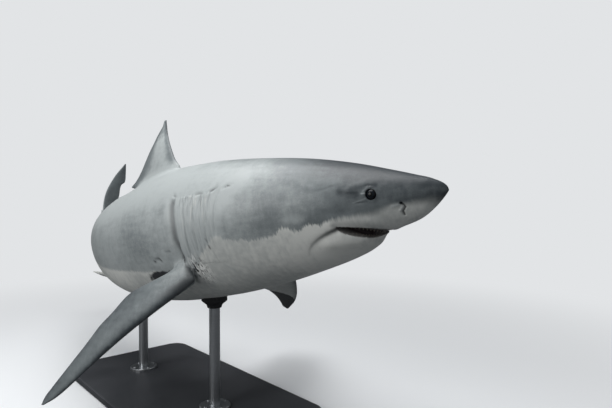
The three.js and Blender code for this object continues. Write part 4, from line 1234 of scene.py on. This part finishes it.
rough = ROUGHNESS["least"] + ROUGHNESS["speckle"] * speckle
feed(shader, Base_Color=body_colour, Roughness=rough, Normal=relief)
body_mesh.materials.clear()
body_mesh.materials.append(hide)
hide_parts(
    "head", "lower_jaw", "gill_region", "trunk_front", "trunk_rear", "tail_stem", "dorsal_fin_first",
    "dorsal_fin_second", "anal_fin", "tail_fin_upper", "tail_fin_lower", "pectoral_fin_right",
    "pectoral_fin_left", "pelvic_fin_right", "pelvic_fin_left",
)
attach(skin, "root")


# ---- Eyes ----
# Each eye is a smooth dark ball of glass, flattened against the head, with a round pupil that hardly shows
# in a nearly black iris. It has no lids and is set from inside into the socket that the hide leaves.
EYE_ROWS, EYE_COLUMNS = 40, 64
PUPIL = colour(5, 6, 7)
IRIS = colour(17, 22, 29)
IRIS_RIM = colour(9, 10, 13)
# Where the pupil and the iris end, as shares of the way from the middle of the eye to its widest ring.
PUPIL_EDGE = (0.42, 0.5)
IRIS_EDGE = (0.72, 0.86)
IRIS_STREAKS = {"noise": (420, 3), "share": 0.1}

eye_finish, wire, shader = new_finish(
    "eye", Roughness=0.26, Coat_Weight=0.06, Coat_Roughness=0.15, Specular_IOR_Level=0.16)
gaze = wire.word("gaze")
iris = gaze.step(*PUPIL_EDGE).blend(PUPIL, IRIS)
edge = gaze + IRIS_STREAKS["share"] * (wire.noise(*IRIS_STREAKS["noise"]) - 0.5)
feed(shader, Base_Color=edge.step(*IRIS_EDGE).blend(iris, IRIS_RIM))


def finished(name, mesh, finish, smoothly=True):
    """A piece of the animal or its stand, with its finish."""
    smooth_shaded(mesh, smoothly)
    mesh.materials.append(finish)
    piece = placed(name, mesh)
    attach(piece, "root")
    return piece


def eye_lie(side):
    """A ball squashed along the way out of the head: rings round that way, from front to back, with the
    middle a little under the skin. The way along is level with the skin and the way up across both."""
    top, _, width = half_sections(np.array(EYE["s"]))
    y = side_at(EYE["s"], EYE["z"])
    out = np.array([0, side * y / width**2, EYE["z"] / top**2])
    out = out / np.linalg.norm(out)
    ahead = np.array([-1, side * (side_at(EYE["s"] - 1, EYE["z"]) - y), 0])
    ahead = ahead - out * (ahead @ out)
    ahead = ahead / np.linalg.norm(ahead)
    upward = np.cross(out, ahead) * side
    polar = np.linspace(0, np.pi, EYE_ROWS)[1:-1, None, None]
    turn = np.linspace(0, 2 * np.pi, EYE_COLUMNS, endpoint=False)[None, :, None]
    flat = np.sin(polar) + 0 * turn
    middle = np.array([EYE["s"], side * y, EYE["z"]]) - out * EYE["sunk"]
    across = EYE["radius"] * (np.cos(turn) * ahead + EYE["tallness"] * np.sin(turn) * upward)
    return middle + flat * across + EYE["depth"] * np.cos(polar) * out, flat[..., 0]


for name, side in (("right", -1), ("left", 1)):
    lie, gaze = eye_lie(side)
    eye = finished(f"eyeball_{name}", tube_mesh(f"eyeball_{name}", bend(lie), gaze=gaze), eye_finish)
    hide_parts(f"eye_{name}")


# ---- Teeth ----
# The front row hardly shows in the gap: broad flat triangles of ivory above, narrower ones below, each with
# its root in the gum just inside the lip. Their ivory is dimmed, and darker towards the root, as painted
# shade.
TOOTH_RISE = np.linspace(0, 0.985, 8)
TOOTH_ROUND = 12
ROW_END = 84
# Those at the ends of a row are smaller by a share, and those in front stand deeper inside the lip.
TOOTH = {
    "smaller_at_ends": 0.45, "deeper_in_front": 0.4, "taper": 1.15, "least": 0.004, "thickness": 0.3,
    "lean": 0.08,
}
UPPER_TEETH = {"lip": upper_lip, "inset": 0.6, "height": -0.2, "width": 0.26, "count": 26, "root": 0.14}
LOWER_TEETH = {"lip": lower_lip, "inset": 0.75, "height": 0.13, "width": 0.2, "count": 26, "root": 0.14}
# The teeth's ivory is dimmed as painted shade, and darkens further towards the root as painted shade.
TOOTH_ROOT_IN_SHADE = colour(58, 48, 45)
TOOTH_COLOUR_IN_SHADE = colour(150, 143, 132)
TOOTH_SHADE = {"noise": (300, 2), "share": 0.3, "ends": (-0.1, 0.9)}
TOOTH_GRAIN = {"noise": (900, 2), "bump": (0.0002, 0.4)}

teeth_in_shade, wire, shader = new_finish("teeth_in_shade", Roughness=0.3, Coat_Weight=0.2)
height = wire.word("height") + TOOTH_SHADE["share"] * (wire.noise(*TOOTH_SHADE["noise"]) - 0.5)
tooth_shade_colour = height.step(*TOOTH_SHADE["ends"]).blend(TOOTH_ROOT_IN_SHADE, TOOTH_COLOUR_IN_SHADE)
grain = wire.bump(wire.noise(*TOOTH_GRAIN["noise"]), *TOOTH_GRAIN["bump"])
feed(shader, Base_Color=tooth_shade_colour, Normal=grain)


def tooth_row(teeth):
    """A bow of flat triangles: each tooth is a stack of thin ellipses that narrow to its point with a power
    of the rise and lean inwards with its square."""
    turn = np.radians(np.linspace(-ROW_END, ROW_END, teeth["count"]))[:, None, None]
    radius = bow_radius(turn.ravel(), teeth["lip"])[:, None, None]
    gum = teeth["lip"](BOW_CENTRE - radius * np.cos(turn))
    size = 1 - TOOTH["smaller_at_ends"] * (turn / turn[-1]) ** 2
    rise = TOOTH_RISE[None, :, None]
    way = np.linspace(0, 2 * np.pi, TOOTH_ROUND, endpoint=False)[None, None, :]
    half = teeth["width"] / 2 * size * (1 - rise ** TOOTH["taper"]) + TOOTH["least"]
    along = half * np.cos(way)
    inset = teeth["inset"] + TOOTH["deeper_in_front"] * np.cos(turn) ** 4
    reach = radius - inset - TOOTH["thickness"] * half * np.sin(way) - TOOTH["lean"] * rise**2 * size
    s = BOW_CENTRE - reach * np.cos(turn) + along * np.sin(turn)
    y = reach * np.sin(turn) + along * np.cos(turn)
    root = -np.sign(teeth["height"]) * teeth["root"]
    z = gum + root + (teeth["height"] * size - root) * rise + 0 * along
    return np.stack([s, y, z], -1), rise + 0 * along


for name, teeth in (("teeth_upper", UPPER_TEETH), ("teeth_lower", LOWER_TEETH)):
    lie, height = tooth_row(teeth)
    finished(name, tube_mesh(name, bend(lie), height=height), teeth_in_shade)


# ---- Stand ----
# A flat plate with two upright rods carries the animal, as under a museum model. The plate is painted
# steel in satin charcoal, the rods and their foot flanges are brushed steel, the cups are black rubber.

# Each finish has a pattern of noise (scale and detail) that moves its colour between two and adds to its
# least roughness, and a bump (distance in metres and strength).
STAND_PAINT = {
    "pattern": (5, 4), "patches": (0.3, 0.75), "dark": colour(52, 54, 58), "light": colour(62, 64, 68),
    "rough": (0.42, 0.16), "grain": (700, 2), "bump": (0.0004, 0.35),
}
BRUSHED_STEEL = {
    "pattern": (28, 3), "drawn": (1.0, 1.0, 60.0), "dark": colour(150, 153, 156),
    "light": colour(192, 194, 196), "rough": (0.26, 0.16), "bump": (0.0003, 0.25),
}
BLACK_RUBBER = {
    "pattern": (420, 2), "dark": colour(26, 27, 28), "light": colour(40, 41, 43), "rough": (0.62, 0.16),
    "bump": (0.0005, 0.4),
}


def stand_finish(name, look, **fixed):
    """A finish whose pattern blends its colours, in patches with soft edges where it has them, and
    roughens it. Its bump is its grain's, or the pattern's own."""
    finish, wire, shader = new_finish(name, **fixed)
    place = wire.stretched(wire.place(), look["drawn"]) if "drawn" in look else None
    pattern = wire.noise(*look["pattern"], place)
    light = pattern.step(*look["patches"]) if "patches" in look else pattern
    height = wire.noise(*look["grain"]) if "grain" in look else pattern
    least, added = look["rough"]
    feed(
        shader,
        Base_Color=light.blend(look["dark"], look["light"]),
        Roughness=least + added * pattern,
        Normal=wire.bump(height, *look["bump"]),
    )
    return finish


paint = stand_finish("stand_paint", STAND_PAINT)
steel = stand_finish("stand_steel", BRUSHED_STEEL, Metallic=1.0)
rubber = stand_finish("stand_rubber", BLACK_RUBBER)
for node, finish in (
    ("stand_base", paint),
    ("stand_flange_front", steel), ("stand_flange_rear", steel),
    ("stand_rod_front", steel), ("stand_rod_rear", steel),
    ("stand_cup_front", rubber), ("stand_cup_rear", rubber),
):
    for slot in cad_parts[node].material_slots:
        slot.material = finish

# Four round-headed socket screws hold each flange to the plate. Sizes are in metres, the profile of a head
# is (share of its radius, share of its height), and the last ring is a share of the socket's size.
SCREW = {"circle": 0.056, "radius": 0.0075, "height": 0.0045, "socket": 0.0038, "deep": 0.003, "sides": 24}
SCREW_PROFILE = np.array([(1, -0.2), (1, 0.35), (0.93, 0.7), (0.75, 0.93), (0.6, 1)])
LAST_RING = 0.2


def screw_rings(flange):
    """Turned heads: rings up the outside and over the top, then down a six-sided socket to its floor."""
    low, high = (np.array(corner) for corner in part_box(flange))
    middle = (low + high) / 2
    quarter = np.radians(45 + 90 * np.arange(4))[:, None, None]
    way = np.linspace(0, 2 * np.pi, SCREW["sides"], endpoint=False)[None, None, :]
    six = SCREW["socket"] / np.cos((way + np.pi / 6) % (np.pi / 3) - np.pi / 6)
    outer = SCREW["radius"] * SCREW_PROFILE[None, :, :1] + 0 * way
    radius = np.concatenate([outer, six, six, LAST_RING * six], 1) + 0 * quarter
    drop = SCREW["height"] - SCREW["deep"]
    rise = np.concatenate([SCREW["height"] * SCREW_PROFILE[:, 1], [SCREW["height"], drop, drop]])
    x = middle[0] + SCREW["circle"] * np.cos(quarter) + radius * np.cos(way)
    y = middle[1] + SCREW["circle"] * np.sin(quarter) + radius * np.sin(way)
    return np.stack([x, y, high[2] + rise[None, :, None] + 0 * x], -1)


rings = np.concatenate([screw_rings(flange) for flange in ("stand_flange_front", "stand_flange_rear")])
finished("stand_screws", tube_mesh("stand_screws", rings), steel, smoothly=False)


# ---- Studio ----
# A pale seamless floor that curves up into the backdrop, a broad soft light from above and a weaker one in
# front, and an even pale world. The floor looks paler to the camera than it is to the light that it
# throws back up, so the belly stays in shade.
FLOOR_REACH = (-9.0, 7.0, 9.0)
CURVE_RADIUS = 3.0
WALL_TOP = 8.0
FLOOR_ROWS, CURVE_ROWS = 20, 24
FLOOR_LIT = colour(110, 112, 114)
FLOOR_SEEN = colour(236, 238, 240)
BACKDROP = colour(226, 228, 230)
BACKDROP_STEP = (0.8, 4.4)
WORLD = {"colour": colour(236, 240, 244), "strength": 0.3}
# Place, target, width in metres and power in watts of each light.
LIGHTS = {
    "light_above": ((-0.2, -0.2, 4.4), (0.0, 0.2, 0.8), 3.4, 150),
    "light_left": ((-3.4, -3.2, 2.9), (0.0, 0.2, 0.9), 2.6, 110),
}
# The lens and the sensor are in millimetres and the tilt is in degrees.
CAMERA = {"lens": 30, "sensor": 36, "place": (0.665, -2.717, 1.080), "tilt": -1.42}

studio_finish, wire, shader = new_finish("studio", Roughness=0.95, Specular_IOR_Level=0.1)
camera_ray = wire.node("ShaderNodeLightPath", output="Is Camera Ray")
seen = wire.maths("MAXIMUM", camera_ray, wire.node("ShaderNodeLightPath", output="Is Singular Ray"))
feed(shader, Base_Color=seen.blend(FLOOR_LIT, FLOOR_SEEN))
far = wire.node("ShaderNodeVectorMath", {"operation": "LENGTH"}, {"Vector": wire.place()}, "Value")
glow = wire.node("ShaderNodeEmission", inputs={"Color": BACKDROP})
mixed = (seen * far.step(*BACKDROP_STEP)).blend_shaders(Wire(wire.tree, shader.outputs["BSDF"]), glow)
feed(wire.tree.nodes["Material Output"], Surface=mixed)


def backdrop():
    """A profile of floor, quarter circle and wall, carried straight across the studio."""
    near, far, across = FLOOR_REACH
    angle = np.linspace(0, np.pi / 2, CURVE_ROWS)[1:]
    level = np.linspace(near, far, FLOOR_ROWS)
    y = np.concatenate([level, far + CURVE_RADIUS * np.sin(angle), [far + CURVE_RADIUS]])
    z = np.concatenate([0 * level, CURVE_RADIUS * (1 - np.cos(angle)), [WALL_TOP]])
    points = np.stack([np.tile([-across, across], len(y)), np.repeat(y, 2), np.repeat(z, 2)], -1)
    row = 2 * np.arange(len(y) - 1)
    return points, np.stack([row, row + 1, row + 3, row + 2], -1)


points, faces = backdrop()
floor_mesh = bpy.data.meshes.new("studio_floor")
floor_mesh.from_pydata(points.tolist(), [], faces.tolist())
smooth_shaded(floor_mesh)
floor_mesh.materials.append(studio_finish)
placed("studio_floor", floor_mesh)


def soft_light(name, place, target, size, power):
    """A square lamp at a place, turned to face a target."""
    lamp = bpy.data.lights.new(name, "AREA")
    lamp.shape = "SQUARE"
    lamp.size = size
    lamp.energy = power
    holder = placed(name, lamp)
    holder.location = place
    way = np.array(target) - np.array(place)
    way = way / np.linalg.norm(way)
    holder.rotation_euler = (np.arccos(-way[2]), 0, np.arctan2(way[0], -way[1]) + np.pi)


for name, light in LIGHTS.items():
    soft_light(name, *light)

world = bpy.data.worlds.new("studio")
world.use_nodes = True
bpy.context.scene.world = world
wire = Wire(world.node_tree)
background = world.node_tree.nodes["Background"]
background.inputs["Color"].default_value = WORLD["colour"]
background.inputs["Strength"].default_value = WORLD["strength"]
glow = wire.node("ShaderNodeBackground", inputs={"Color": BACKDROP, "Strength": 1.0})
camera_ray = wire.node("ShaderNodeLightPath", output="Is Camera Ray")
mixed = camera_ray.blend_shaders(Wire(wire.tree, background.outputs["Background"]), glow)
feed(wire.tree.nodes["World Output"], Surface=mixed)

camera_data = bpy.data.cameras.new("camera")
camera_data.lens = CAMERA["lens"]
camera_data.sensor_width = CAMERA["sensor"]
camera = placed("camera", camera_data)
camera.location = CAMERA["place"]
camera.rotation_euler = (np.radians(90 + CAMERA["tilt"]), 0, 0)
bpy.context.scene.camera = camera
bpy.context.scene.view_settings.view_transform = "Standard"
